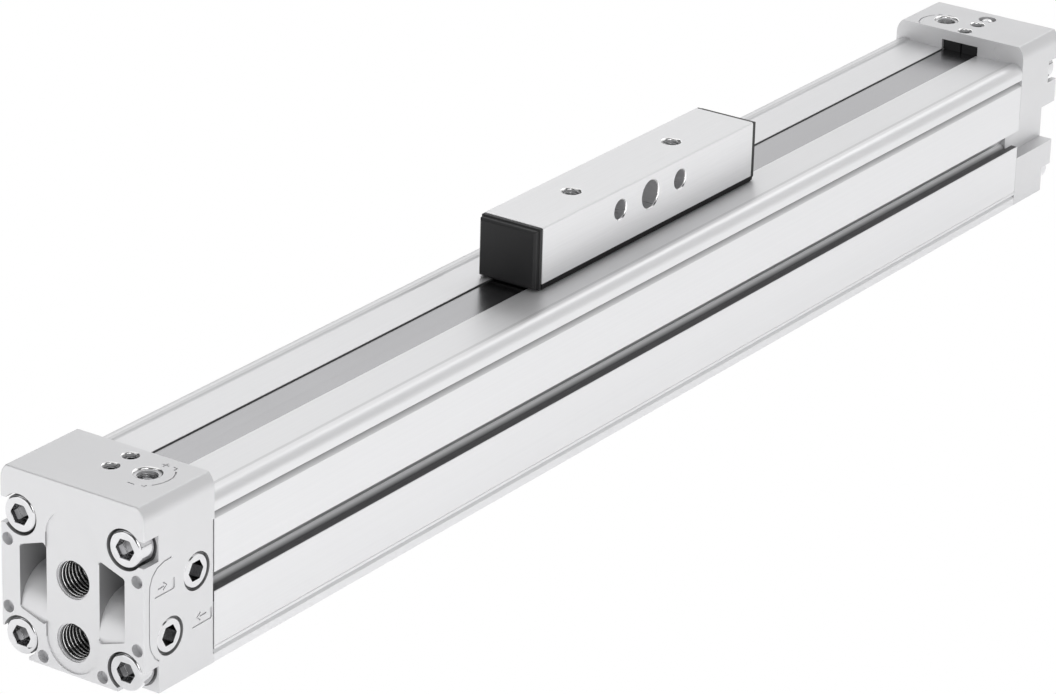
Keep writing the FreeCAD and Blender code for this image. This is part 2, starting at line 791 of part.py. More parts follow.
def finish_far_cap(body, length):
    """What only the far cap has: the way into the sensor slot, a ball-sealed passage."""
    groove = add_sketch(body, "sensor_groove_outline", "YZ_Plane")
    add_rectangle(
        groove,
        "%s - sensor_groove_depth" % HALF_WIDTH,
        "body_width",
        "sensor_groove_bottom",
        "sensor_groove_top",
    )
    add_pocket(body, groove, "sensor_groove", along_normal=True)

    passage = add_sketch(body, "ball_hole_circle", "XY_Plane", CAP_TOP)
    add_circle(passage, "ball_hole_inset", "0", "ball_radius + ball_fit")
    add_pocket(body, passage, "ball_hole", "ball_hole_depth")

    mark = add_sketch(body, "ejector_mark_circle", "YZ_Plane", length)
    height = "%s - ejector_mark_drop" % CAP_TOP
    add_circle(mark, "ejector_mark_offset", height, "ejector_mark_radius")
    add_pocket(body, mark, "ejector_mark", "ejector_mark_depth")


def plug_places(length):
    """Where the two cross-drilled air passages leave a cap's side."""
    return [
        (length + " - upper_plug_setback", "upper_plug_height"),
        ("lower_plug_inset", "lower_plug_height"),
    ]


# Screws and plugs

def build_cap_screws(end):
    """Four socket head cap screws, heads flush in the cap, threads in the barrel."""
    body = add_body(end + "_cap_screws", compound=True)
    seat = "head_seat_depth"
    head = add_sketch(body, "head_circle", "YZ_Plane", seat + " - cap_screw_head_height")
    add_circle(head, minus(SCREW_HALF), SCREW_BASE, "cap_screw_head")
    head_pad = add_pad(body, head, "head", "cap_screw_head_height")
    front = number(seat + " - cap_screw_head_height")
    round_edges(
        body, head_pad, "Chamfer", "head_rim", "cap_screw_head / 10",
        lambda edge: edge_at(edge, 0, front),
    )
    shank = add_sketch(body, "shank_circle", "YZ_Plane", seat)
    add_circle(shank, minus(SCREW_HALF), SCREW_BASE, "cap_screw_radius - cap_screw_fit")
    add_pad(body, shank, "shank", "cap_screw_length")
    socket = add_sketch(body, "socket_outline", "YZ_Plane", seat + " - cap_screw_head_height")
    add_hexagon(socket, minus(SCREW_HALF), SCREW_BASE, "cap_screw_socket")
    add_pocket(body, socket, "socket", "cap_screw_head_height / 2", along_normal=True)
    rise = "%s - %s" % (SCREW_TOP, SCREW_BASE)
    repeat(body, "four_screws", "Y_Axis", SCREW_HALF + " * 2", "Z_Axis", rise)
    if end == "near":
        place(body, across=minus(HALF))
    else:
        place(body, across=HALF, turned=True)


def build_side_plugs(end):
    """Two plugs that close the air passages drilled in from the cap's side."""
    length = end + "_cap_length"
    body = add_body(end + "_side_plugs", compound=True)
    face = "%s - side_plug_fit * 4" % HALF_WIDTH
    seat = "%s - side_plug_recess_depth" % HALF_WIDTH
    heads = add_sketch(body, "head_circles", "XZ_Plane", seat)
    threads = add_sketch(body, "thread_circles", "XZ_Plane", seat + " - side_plug_length")
    sockets = add_sketch(body, "socket_outlines", "XZ_Plane", face)
    for across, up in plug_places(length):
        add_circle(heads, across, up, "side_plug_head")
        add_circle(threads, across, up, "side_plug_hole - side_plug_fit")
        add_hexagon(sockets, across, up, "side_plug_socket")
    heads_pad = add_pad(body, heads, "heads", "side_plug_recess_depth - side_plug_fit * 4")
    front = -number(face)
    round_edges(
        body, heads_pad, "Chamfer", "rims", "side_plug_head / 12",
        lambda edge: edge_at(edge, 1, front),
    )
    add_pad(body, threads, "threads", "side_plug_length")
    add_pocket(body, sockets, "sockets", "side_plug_length / 2")
    if end == "near":
        place(body, across=minus(HALF))
    else:
        place(body, across=HALF, turned=True)


def build_port_plugs():
    """Two socket plugs that close the far cap's unused ports."""
    body = add_body("far_port_plugs", compound=True)
    front = "port_face_depth + port_plug_sink"
    plug = add_sketch(body, "plug_circle", "YZ_Plane", front)
    add_circle(plug, "0", "port_height", "port_radius - port_plug_fit")
    add_pad(body, plug, "plug", "port_plug_length")
    socket = add_sketch(body, "socket_outline", "YZ_Plane", front)
    add_hexagon(socket, "0", "port_height", "side_plug_socket")
    add_pocket(body, socket, "socket", "port_plug_length / 2", along_normal=True)
    repeat(body, "two_plugs", "Z_Axis", "port_spacing")
    place(body, across=HALF, turned=True)


def build_ball_plug():
    """Steel ball pressed into the far cap's top passage."""
    ball = doc.addObject("Part::Sphere", "far_ball_plug")
    ball.Label = "far_ball_plug"
    ball.setExpression("Radius", bound("ball_radius"))
    height = "%s - ball_hole_depth + ball_radius" % CAP_TOP
    ball.setExpression("Placement.Base.x", bound("%s - ball_hole_inset" % HALF))
    ball.setExpression("Placement.Base.z", bound(height))
    sub_parts.append(ball)


def build_set_screws(end):
    """Two set screws that press the clamp block on the cover band's end."""
    body = add_body(end + "_clamp_set_screws", compound=True)
    floor = "%s - clamp_gap" % WINDOW_TOP
    across = "%s_cap_length - %s_set_screw_inset - set_screw_spacing" % (end, end)
    screw = add_sketch(body, "screw_circle", "XY_Plane", floor)
    add_circle(screw, across, "0", "set_screw_radius - set_screw_fit")
    add_pad(body, screw, "screw", "set_screw_length")
    socket = add_sketch(body, "socket_outline", "XY_Plane", floor + " + set_screw_length")
    add_hexagon(socket, across, "0", "set_screw_socket")
    add_pocket(body, socket, "socket", "set_screw_length * 0.6")
    repeat(body, "two_set_screws", "X_Axis", "set_screw_spacing")
    if end == "near":
        place(body, across=minus(HALF))
    else:
        place(body, across=HALF, turned=True)


def build_needle(end):
    """Cushioning screw: a needle that throttles the air leaving the cushion chamber."""
    body = add_body(end + "_cushion_screw")
    thread = "needle_hole_radius - needle_fit"
    top = "%s - needle_sink" % CAP_TOP
    shank = add_sketch(body, "shank_circle", "XY_Plane", top + " - needle_length")
    add_circle(shank, "0", "0", thread)
    add_pad(body, shank, "shank", "needle_length")
    tip = add_sketch(body, "tip_circle", "XY_Plane", top + " - needle_length - needle_tip")
    add_circle(tip, "0", "0", "needle_hole_radius / 2")
    add_pad(body, tip, "tip", "needle_tip")
    socket = add_sketch(body, "socket_outline", "XY_Plane", top)
    add_hexagon(socket, "0", "0", "needle_socket")
    add_pocket(body, socket, "socket", "needle_length * 0.4")
    inset = "%s_needle_inset" % end
    if end == "near":
        place(body, across="-%s + %s" % (HALF, inset), side="-needle_offset")
    else:
        place(body, across="%s - %s" % (HALF, inset), side="needle_offset")


# Seals between the caps and the barrel

def build_gasket(end):
    """Flat gasket in the cap's rebate, around the spigot and the four screws."""
    body = add_body(end + "_cap_gasket")
    start = "%s_cap_length - gasket_thickness" % end
    edge = "%s - gasket_gap" % HALF_WIDTH if end == "near" else (
        "%s - gasket_inset - gasket_gap" % HALF_WIDTH)
    shoulder = "%s - gasket_inset - gasket_gap" % HALF_WIDTH
    sheet_outline = add_sketch(body, "sheet_outline", "YZ_Plane", start)
    half = [(edge + " - gasket_gap", "gasket_foot + gasket_gap")]
    if end == "near":
        half.append((edge + " - gasket_gap", "land_height - gasket_shoulder - gasket_gap"))
        half.append((shoulder, "land_height - gasket_shoulder - gasket_gap"))
        half.append((shoulder, "land_height - gasket_drop - gasket_gap"))
    else:
        notch_side = SLOT_TIP + " - 3 * gasket_gap"
        notch_low = "sensor_groove_bottom - 2 * gasket_gap"
        notch_high = "sensor_groove_top + 2 * gasket_gap"
        half.append((edge + " - gasket_gap", notch_low))
        half.append((notch_side, notch_low))
        half.append((notch_side, notch_high))
        half.append((edge + " - gasket_gap", notch_high))
        half.append((edge + " - gasket_gap", "land_height - gasket_drop - gasket_gap"))
    add_outline(sheet_outline, mirrored(half))
    add_circle(sheet_outline, "0", "bore_height", "bore_radius + gasket_gap")
    add_pad(body, sheet_outline, "sheet", "gasket_thickness")
    holes = add_sketch(body, "hole_circles", "YZ_Plane", start)
    for side in (SCREW_HALF, minus(SCREW_HALF)):
        for height in (SCREW_BASE, SCREW_TOP):
            add_circle(holes, side, height, "cap_screw_hole")
    add_pocket(body, holes, "holes", along_normal=True)
    ways = add_sketch(body, "air_way_circles", "YZ_Plane", start)
    for side in ("air_duct_offset", "-air_duct_offset"):
        add_circle(ways, side, "air_duct_height", "air_duct_radius")
    add_pocket(body, ways, "air_ways", along_normal=True)
    if end == "near":
        place(body, across=minus(HALF))
    else:
        place(body, across=HALF, turned=True)


def build_bore_ring(end):
    """Round-section seal ring on the cap's spigot."""
    ring = doc.addObject("Part::Torus", end + "_bore_ring")
    ring.Label = end + "_bore_ring"
    ring.setExpression("Radius2", bound("ring_wire / 2"))
    ring.setExpression("Radius1", bound("bore_radius - spigot_gap - ring_wire / 2"))
    ring.Placement.Rotation = FreeCAD.Rotation(FreeCAD.Vector(0, 1, 0), 90)
    middle = "%s_cap_length + ring_groove_start + ring_groove_width / 2" % end
    across = "(%s) - %s" % (middle, HALF)
    if end == "far":
        across = minus(across)
    ring.setExpression("Placement.Base.x", bound(across))
    ring.setExpression("Placement.Base.z", bound("bore_height"))
    sub_parts.append(ring)


def build_band_clamp(end):
    """Plastic block in the cap's window that holds the cover band's end down."""
    body = add_body(end + "_band_clamp")
    length = end + "_cap_length"
    half = "(%s - clamp_gap)" % CHANNEL_HALF
    clamp_length = end + "_clamp_length"
    start = "%s - clamp_recess - %s" % (length, clamp_length)
    block = add_sketch(body, "block_outline", "YZ_Plane", start)
    add_rectangle(block, minus(half), half, BAND_TOP, "%s - clamp_gap" % WINDOW_TOP)
    add_pad(body, block, "block", clamp_length)
    slit = add_sketch(body, "slit_outline", "YZ_Plane", length + " - clamp_recess")
    add_rectangle(
        slit, "-clamp_gap * 2.5", "clamp_gap * 2.5", BAND_TOP, CAP_TOP,
    )
    add_pocket(body, slit, "slit", "clamp_recess")
    if end == "near":
        place(body, across=minus(HALF))
    else:
        place(body, across=HALF, turned=True)


# Bands and the strips that hold the cover band

def ramp_points(far, near, level, lift):
    """A ramp from the level at the far place to the level plus lift at the near one."""
    shares = ((0, 0), (0.28, 0.12), (0.5, 0.5), (0.72, 0.88), (1, 1))
    return [
        (
            "(%s) + ((%s) - (%s)) * %g" % (far, near, far, along),
            "%s + (%s) * %g" % (level, lift, rise),
        )
        for along, rise in shares
    ]


def build_cover_band():
    """Steel cover band: flat in its seat, lifted over the saddle inside the carriage."""
    body = add_body("outer_cover_band")
    flat = "(%s + band_margin * 1.5)" % SADDLE_HALF
    rest = "carriage_rest"
    start = "%s - near_clamp_length" % BARREL_START
    end = "%s + far_clamp_length" % BARREL_END
    under = [(start, BAND_BOTTOM)]
    under += ramp_points(
        "%s - %s - band_ramp" % (rest, flat), "%s - %s" % (rest, flat), BAND_BOTTOM, "band_lift")
    under += reversed(ramp_points(
        "%s + %s + band_ramp" % (rest, flat), "%s + %s" % (rest, flat), BAND_BOTTOM, "band_lift"))
    under.append((end, BAND_BOTTOM))
    over = [(point[0], point[1] + " + cover_band_thickness") for point in reversed(under)]
    path = add_sketch(body, "side_view", "XZ_Plane")
    add_outline(path, under + over)
    add_pad(body, path, "band", "cover_band_width", middle=True)


def build_sealing_band():
    """Inner band: closes the slot from inside and dips under the yoke's neck."""
    body = add_body("inner_sealing_band", compound=True)
    half = "(seal_band_width / 2)"
    low = "bore_height + bore_radius * 0.9"
    dip_half = "(neck_half_length + band_margin)"
    bend = "(yoke_half_length + band_margin)"
    spans = (
        ("near_run", BARREL_START, "carriage_rest - %s - (%s)" % (bend, BARREL_START)),
        (
            "far_run", "carriage_rest + " + bend,
            "%s - carriage_rest - %s" % (BARREL_END, bend),
        ),
    )
    for name, start, length in spans:
        section = add_sketch(body, name + "_section", "YZ_Plane", start)
        add_rectangle(section, minus(half), half, low, SEAL_TOP)
        add_pad(body, section, name, length)
    hollow = add_sketch(body, "bore_circle", "YZ_Plane", BARREL_START)
    add_circle(hollow, "0", "bore_height", "bore_radius")
    add_pocket(body, hollow, "bore_side", along_normal=True)

    skin_low = SEAL_TOP + " - band_skin"
    under = list(ramp_points(
        "carriage_rest - " + bend, "carriage_rest - " + dip_half, skin_low, "-band_dip"))
    under += reversed(ramp_points(
        "carriage_rest + " + bend, "carriage_rest + " + dip_half, skin_low, "-band_dip"))
    over = [(point[0], point[1] + " + band_skin") for point in reversed(under)]
    path = add_sketch(body, "dip_side_view", "XZ_Plane")
    add_outline(path, under + over)
    add_pad(body, path, "dip", "seal_band_width", middle=True)


def build_magnet_strips():
    """Two magnetic strips beside the slot, under the cover band."""
    body = add_body("band_magnet_strips", compound=True)
    section = add_sketch(body, "section", "YZ_Plane", BARREL_START)
    add_pair_of_rectangles(
        section,
        STRIP_INNER,
        STRIP_OUTER,
        "%s - magnet_strip_height - magnet_strip_gap" % BAND_BOTTOM,
        "%s - magnet_strip_gap" % BAND_BOTTOM,
    )
    add_pad(body, section, "strips", BARREL_LENGTH)


# Cushioning and piston. Round pieces are turned about the bore's axis.

def build_sleeve(end):
    """Hollow cushion sleeve fixed in the cap's spigot, reaching into the bore."""
    body = add_body(end + "_cushion_sleeve")
    start = "%s_cap_length + spigot_length - sleeve_root" % end
    tip = "%s_cap_length + spigot_length + sleeve_reach" % end
    radius = "sleeve_radius - sleeve_fit"
    add_turning(body, "sleeve", [
        (start, "sleeve_bore"),
        (tip, "sleeve_bore"),
        (tip, "sleeve_radius - sleeve_nose / 2"),
        (tip + " - sleeve_nose", radius),
        (start, radius),
    ])
    if end == "near":
        place(body, across=minus(HALF), up="bore_height")
    else:
        place(body, across=HALF, up="bore_height", turned=True)


def set_on_piston(body, end, up="bore_height"):
    place(body, across="carriage_rest", up=up, turned=(end == "near"))


def build_piston_end(end):
    """Piston head with its wear ring, magnet, seal and cushion seal, seen from the middle."""
    wear_start = "yoke_half_length + wear_ring_inset"
    wear_end = "%s + wear_ring_width" % wear_start
    wear_floor = "%s - wear_ring_depth" % PISTON_RADIUS
    magnet_start = "yoke_half_length + magnet_inset"
    magnet_end = "%s + magnet_width" % magnet_start
    magnet_floor = "%s - magnet_depth" % PISTON_RADIUS
    seal_end = "%s - seal_inset" % PISTON_HALF
    seal_start = "%s - seal_width" % seal_end
    seal_floor = "%s - seal_depth" % PISTON_RADIUS
    lip_end = "%s - cushion_seal_inset" % PISTON_HALF
    lip_start = "%s - cushion_seal_width" % lip_end
    bore_end = "%s - %s" % (PISTON_HALF, CUSHION_DEPTH)
    stub_end = "yoke_half_length + yoke_stub_length"

    head = add_body(end + "_piston_head")
    add_turning(head, "head", [
        (stub_end, "0"),
        (bore_end, "0"),
        (bore_end, "cushion_bore"),
        (lip_start, "cushion_bore"),
        (lip_start, "cushion_seal_radius"),
        (lip_end, "cushion_seal_radius"),
        (lip_end, "cushion_bore"),
        (PISTON_HALF, "cushion_bore"),
        (PISTON_HALF, PISTON_RADIUS),
        (seal_end, PISTON_RADIUS),
        (seal_end, seal_floor),
        (seal_start, seal_floor),
        (seal_start, PISTON_RADIUS),
        (magnet_end, PISTON_RADIUS),
        (magnet_end, magnet_floor),
        (magnet_start, magnet_floor),
        (magnet_start, PISTON_RADIUS),
        (wear_end, PISTON_RADIUS),
        (wear_end, wear_floor),
        (wear_start, wear_floor),
        (wear_start, PISTON_RADIUS),
        ("yoke_half_length", PISTON_RADIUS),
        ("yoke_half_length", "yoke_stub_radius"),
        (stub_end, "yoke_stub_radius"),
    ])
    set_on_piston(head, end)

    rings = (
        ("wear_ring", wear_start, wear_end, wear_floor, "bore_radius - seal_gap"),
        ("piston_magnet", magnet_start, magnet_end, magnet_floor, PISTON_RADIUS),
        ("piston_seal", seal_start, seal_end, seal_floor, "bore_radius - seal_gap"),
        (
            "cushion_seal", lip_start, lip_end,
            "sleeve_radius + cushion_seal_gap", "cushion_seal_radius",
        ),
    )
    for name, start, stop, inner, outer in rings:
        ring = add_body("%s_%s" % (end, name))
        add_turning(ring, "ring", [(start, inner), (stop, inner), (stop, outer), (start, outer)])
        set_on_piston(ring, end)


def build_yoke():
    """Piston yoke: the block between the heads, the neck through the slot, the saddle."""
    body = add_body("piston_yoke")
    stub = "(yoke_half_length + yoke_stub_length - stub_fit)"
    core = add_sketch(body, "stub_circle", "YZ_Plane", minus(stub))
    add_circle(core, "0", "bore_height", "yoke_stub_radius - stub_fit")
    add_pad(body, core, "stubs", stub + " * 2")
    block = add_sketch(body, "block_circle", "YZ_Plane", "-yoke_half_length")
    add_circle(block, "0", "bore_height", PISTON_RADIUS)
    add_pad(body, block, "block", "yoke_half_length * 2")

    channel = add_sketch(body, "band_channel_outline", "XZ_Plane")
    past = "(yoke_half_length + band_margin)"
    floor = "(%s - band_skin - band_dip - channel_margin)" % SEAL_TOP
    roof = "%s + channel_height" % floor
    add_outline(channel, [
        (minus(past), floor),
        (past, floor),
        (past, "land_height"),
        ("neck_half_length", "land_height"),
        ("neck_half_length", roof),
        ("-neck_half_length", roof),
        ("-neck_half_length", "land_height"),
        (minus(past), "land_height"),
    ])
    add_pocket(body, channel, "band_channel", "seal_band_width + channel_gap * 2", middle=True)

    neck = add_sketch(body, "neck_outline", "XY_Plane", roof + " + 0.2")
    neck_half = "(slot_width / 2 - neck_gap)"
    add_rectangle(neck, "-neck_half_length", "neck_half_length", minus(neck_half), neck_half)
    add_pad(body, neck, "neck", "%s - (%s + 0.2) + 0.5" % (SADDLE_BOTTOM, roof))

    saddle = add_sketch(body, "saddle_outline", "YZ_Plane", minus(SADDLE_HALF))
    wing = "carriage_width / 2 - saddle_skirt - saddle_gap"
    beam = "%s - saddle_beam_gap" % CHANNEL_HALF
    add_outline(saddle, mirrored([
        (wing, SADDLE_BOTTOM),
        (wing, CARRIAGE_BOTTOM),
        (beam, CARRIAGE_BOTTOM),
        (beam, "%s + saddle_beam_rise" % CARRIAGE_BOTTOM),
    ]))
    add_pad(body, saddle, "saddle", SADDLE_HALF + " * 2")

    holes = add_sketch(body, "screw_hole_circles", "XY_Plane", SADDLE_BOTTOM)
    heads = add_sketch(body, "screw_head_circles", "XY_Plane", SADDLE_BOTTOM)
    for across, side in yoke_screw_places():
        add_circle(holes, across, side, "yoke_screw_radius + yoke_screw_fit")
        add_circle(heads, across, side, "yoke_screw_head + yoke_screw_fit")
    add_pocket(body, holes, "screw_holes", CARRIAGE_BOTTOM, along_normal=True)
    add_pocket(body, heads, "screw_heads", "(%s - %s) / 2" % (CARRIAGE_BOTTOM, SADDLE_BOTTOM),
               along_normal=True)
    place(body, across="carriage_rest")


def yoke_screw_places():
    return [
        (across, side)
        for across in ("yoke_screw_row_length / 2", "-yoke_screw_row_length / 2")
        for side in (YOKE_SCREW_SIDE, minus(YOKE_SCREW_SIDE))
    ]


def build_yoke_screws():
    """Four small screws up through the saddle's wings into the carriage."""
    body = add_body("yoke_screws", compound=True)
    head_height = "(%s - %s) / 2" % (CARRIAGE_BOTTOM, SADDLE_BOTTOM)
    heads = add_sketch(body, "head_circle", "XY_Plane", SADDLE_BOTTOM)
    add_circle(heads, "-yoke_screw_row_length / 2", minus(YOKE_SCREW_SIDE), "yoke_screw_head")
    add_pad(body, heads, "head", head_height)
    shanks = add_sketch(body, "shank_circle", "XY_Plane", SADDLE_BOTTOM)
    add_circle(shanks, "-yoke_screw_row_length / 2", minus(YOKE_SCREW_SIDE), "yoke_screw_radius")
    add_pad(body, shanks, "shank", "yoke_screw_length")
    repeat(body, "four_screws", "X_Axis", "yoke_screw_row_length", "Y_Axis",
           YOKE_SCREW_SIDE + " * 2")
    place(body, across="carriage_rest")


# Carriage

def build_carriage():
    """Machined aluminium carriage with a channel for the lifted band underneath."""
    body = add_body("carriage_body")
    half = "(carriage_width / 2)"
    section = add_sketch(body, "section", "YZ_Plane", "-carriage_length / 2")
    add_outline(section, mirrored([
        (CHANNEL_HALF, CARRIAGE_BOTTOM),
        (half, CARRIAGE_BOTTOM),
        (half, "%s - carriage_edge" % CARRIAGE_TOP),
        ("%s - carriage_edge" % half, CARRIAGE_TOP),
    ]) + [(minus(CHANNEL_HALF), CHANNEL_TOP), (CHANNEL_HALF, CHANNEL_TOP)])
    add_pad(body, section, "bar", "carriage_length")

    side_holes = add_sketch(body, "side_hole_circles", "XZ_Plane")
    for across in ("side_hole_spacing / 2", "-side_hole_spacing / 2"):
        add_circle(side_holes, across, SIDE_HOLE, "side_hole_radius")
    add_circle(side_holes, "0", SIDE_HOLE, "centre_hole_radius")
    add_pocket(body, side_holes, "side_holes", "carriage_width + 2", middle=True)

    top_holes = add_sketch(body, "top_hole_circles", "XY_Plane", CARRIAGE_TOP)
    for across in ("top_hole_spacing / 2", "-top_hole_spacing / 2"):
        add_circle(top_holes, across, "0", "top_hole_radius")
    add_pocket(body, top_holes, "top_holes", "top_hole_depth")

    screw_holes = add_sketch(body, "screw_hole_circles", "XY_Plane", CARRIAGE_BOTTOM)
    for across, side in yoke_screw_places():
        add_circle(screw_holes, across, side, "yoke_screw_radius + yoke_screw_fit")
    add_pocket(body, screw_holes, "screw_holes", "yoke_screw_length", along_normal=True)
    place(body, across="carriage_rest")


def build_strip():
    """Plastic sliding strip: a thin frame under the carriage, around the saddle."""
    body = add_body("carriage_slide_strip")
    half_length = "(carriage_length / 2)"
    half_width = "(carriage_width / 2)"
    base = "%s - strip_height" % CARRIAGE_BOTTOM
    frame = add_sketch(body, "frame_outline", "XY_Plane", base)
    add_rectangle(frame, minus(half_length), half_length, minus(half_width), half_width)
    add_pad(body, frame, "frame", "strip_height")
    window = add_sketch(body, "window_outline", "XY_Plane", base)
    window_end = "(%s - strip_end)" % half_length
    window_side = "(%s + strip_lap)" % CHANNEL_HALF
    saddle_end = "(%s + saddle_gap)" % SADDLE_HALF
    saddle_side = "(carriage_width / 2 - saddle_skirt)"
    quarter = [
        (window_end, window_side),
        (saddle_end, window_side),
        (saddle_end, saddle_side),
    ]
    upper = quarter + [(minus(point[0]), point[1]) for point in reversed(quarter)]
    lower = [(minus(point[0]), minus(point[1])) for point in upper]
    add_outline(window, upper + lower)
    add_pocket(body, window, "window", along_normal=True)
    place(body, across="carriage_rest")


def build_carriage_end(end):
    """Black end cap: a slab, a stepped outer block, a wiping lip and a locating tongue."""
    body = add_body(end + "_carriage_end_cap")
    face = "carriage_length / 2"
    low = "land_height + end_cap_clearance"
    half = "(carriage_width / 2 - end_cap_margin)"
    top = "%s - end_cap_margin" % CARRIAGE_TOP
    slab = add_sketch(body, "slab_outline", "YZ_Plane", face)
    add_rectangle(slab, minus(half), half, low, top)
    add_pad(body, slab, "slab", "end_cap_slab")
    block = add_sketch(body, "block_outline", "YZ_Plane", face + " + end_cap_slab")
    inner = "(%s - end_cap_step)" % half
    add_rectangle(block, minus(inner), inner, low + " + end_cap_step", top + " - end_cap_step")
    block_pad = add_pad(body, block, "block", "end_cap_block")
    outer_face = number(face + " + end_cap_slab + end_cap_block")
    round_edges(
        body, block_pad, "Chamfer", "bevel", "end_cap_bevel",
        lambda edge: edge_at(edge, 0, outer_face),
    )
    lip = add_sketch(body, "lip_outline", "YZ_Plane", face)
    lip_half = "(end_cap_lip_width / 2)"
    add_rectangle(lip, minus(lip_half), lip_half, low + " - end_cap_lip", low + " + 0.5")
    add_pad(body, lip, "lip", "end_cap_slab")
    tongue = add_sketch(body, "tongue_outline", "YZ_Plane", face + " - end_cap_tongue")
    tongue_half = "(%s - clamp_gap)" % CHANNEL_HALF
    add_rectangle(
        tongue, minus(tongue_half), tongue_half,
        "%s + clamp_gap" % CARRIAGE_BOTTOM, CHANNEL_TOP,
    )
    add_pad(body, tongue, "tongue", "end_cap_tongue")
    place(body, across="carriage_rest", turned=(end == "near"))


def build_band_guide(end):
    """Plastic guide in the carriage's channel that presses the cover band into its seat."""
    body = add_body(end + "_band_guide")
    start = "carriage_length / 2 - end_cap_tongue - guide_length"
    half = "(%s - clamp_gap)" % CHANNEL_HALF
    guide = add_sketch(body, "guide_outline", "YZ_Plane", start)
    foot = "(cover_band_width / 2)"
    add_outline(guide, mirrored([
        (foot, BAND_TOP + " + guide_clearance"),
        (foot, "%s + clamp_gap" % CARRIAGE_BOTTOM),
        (half, "%s + clamp_gap" % CARRIAGE_BOTTOM),
        (half, CHANNEL_TOP),
    ]))
    add_pad(body, guide, "guide", "guide_length")
    place(body, across="carriage_rest", turned=(end == "near"))


build_barrel()
for cap_end in ("near", "far"):
    build_cap(cap_end)
    build_cap_screws(cap_end)
    build_side_plugs(cap_end)
    build_set_screws(cap_end)
    build_needle(cap_end)
    build_gasket(cap_end)
    build_bore_ring(cap_end)
    build_band_clamp(cap_end)
    build_sleeve(cap_end)
    build_piston_end(cap_end)
    build_carriage_end(cap_end)
    build_band_guide(cap_end)
build_port_plugs()
build_ball_plug()
build_cover_band()
build_sealing_band()
build_magnet_strips()
build_yoke()
build_yoke_screws()
build_carriage()
build_strip()
doc.recompute()

for item in doc.Objects:
    if "Invalid" in item.State or "Error" in item.State:
        raise RuntimeError("%s did not build: %s" % (item.Label, item.State))
for sub_part in sub_parts:
    if sub_part.Shape.isNull() or not sub_part.Shape.isValid():
        raise RuntimeError("%s has no valid shape" % sub_part.Label)

os.makedirs("parts", exist_ok=True)
for sub_part in sub_parts:
    sub_part.Shape.exportStep("parts/%s.step" % sub_part.Label)
    print(sub_part.Label, len(sub_part.Shape.Solids), round(sub_part.Shape.Volume, 1))
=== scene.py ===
import json
from math import cos, hypot, pi, radians, sin

import bpy
from mathutils import Matrix, Vector


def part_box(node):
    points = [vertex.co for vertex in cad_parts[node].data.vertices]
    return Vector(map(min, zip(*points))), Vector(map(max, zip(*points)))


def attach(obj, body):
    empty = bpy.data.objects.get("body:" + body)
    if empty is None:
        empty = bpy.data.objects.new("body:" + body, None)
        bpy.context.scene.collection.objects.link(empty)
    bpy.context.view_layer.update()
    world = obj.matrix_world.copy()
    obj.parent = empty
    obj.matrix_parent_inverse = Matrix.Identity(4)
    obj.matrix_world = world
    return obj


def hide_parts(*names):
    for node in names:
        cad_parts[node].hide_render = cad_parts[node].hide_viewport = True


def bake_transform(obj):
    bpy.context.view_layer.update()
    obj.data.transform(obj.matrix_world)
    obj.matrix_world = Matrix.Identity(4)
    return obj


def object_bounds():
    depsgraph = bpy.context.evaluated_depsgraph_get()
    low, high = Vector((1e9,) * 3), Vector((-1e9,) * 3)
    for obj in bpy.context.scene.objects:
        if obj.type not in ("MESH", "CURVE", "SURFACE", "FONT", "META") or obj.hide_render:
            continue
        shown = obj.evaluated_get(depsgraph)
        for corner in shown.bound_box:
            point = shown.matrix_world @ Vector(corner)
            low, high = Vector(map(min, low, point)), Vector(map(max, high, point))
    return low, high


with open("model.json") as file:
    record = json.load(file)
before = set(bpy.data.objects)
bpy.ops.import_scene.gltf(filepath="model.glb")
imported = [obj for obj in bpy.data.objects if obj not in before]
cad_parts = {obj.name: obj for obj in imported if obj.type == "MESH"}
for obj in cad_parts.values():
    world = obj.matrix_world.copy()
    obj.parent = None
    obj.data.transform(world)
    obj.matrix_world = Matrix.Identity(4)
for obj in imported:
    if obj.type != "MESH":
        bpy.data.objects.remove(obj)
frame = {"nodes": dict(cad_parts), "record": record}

bl_info = {
    "name": "Rodless cylinder dressing",
    "version": (1, 0, 0),
    "blender": (4, 5, 0),
    "location": "3D View > Sidebar > Cylinder",
    "description": "Dresses the packed rodless pneumatic cylinder and lights it as in the photograph",
    "category": "Object",
}

CAD_BOX = [list(corner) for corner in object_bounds()]
CAP_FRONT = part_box("near_end_cap")[0].x
CAP_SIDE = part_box("near_end_cap")[0].y
CAP_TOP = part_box("near_end_cap")[1].z
CAP_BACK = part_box("far_end_cap")[1].x
CARRIAGE_LOW, CARRIAGE_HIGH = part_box("carriage_body")
CARRIAGE_MIDDLE = (CARRIAGE_LOW.x + CARRIAGE_HIGH.x) / 2
MM = 0.001
SMOOTH_BELOW = radians(35)


# Selecting and shaping

def deselect_all():
    if bpy.context.object and bpy.context.object.mode != "OBJECT":
        bpy.ops.object.mode_set(mode="OBJECT")
    bpy.ops.object.select_all(action="DESELECT")


def activate(piece):
    deselect_all()
    piece.select_set(True)
    bpy.context.view_layer.objects.active = piece
    return piece


def edit(piece):
    activate(piece)
    bpy.ops.object.mode_set(mode="EDIT")
    bpy.ops.mesh.select_all(action="SELECT")


def leave_edit():
    bpy.ops.object.mode_set(mode="OBJECT")


def apply_modifier(piece, kind, **settings):
    """Adds one modifier with these settings and applies it."""
    activate(piece)
    modifier = piece.modifiers.new(kind.title(), kind)
    for name, value in settings.items():
        setattr(modifier, name, value)
    bpy.ops.object.modifier_apply(modifier=modifier.name)


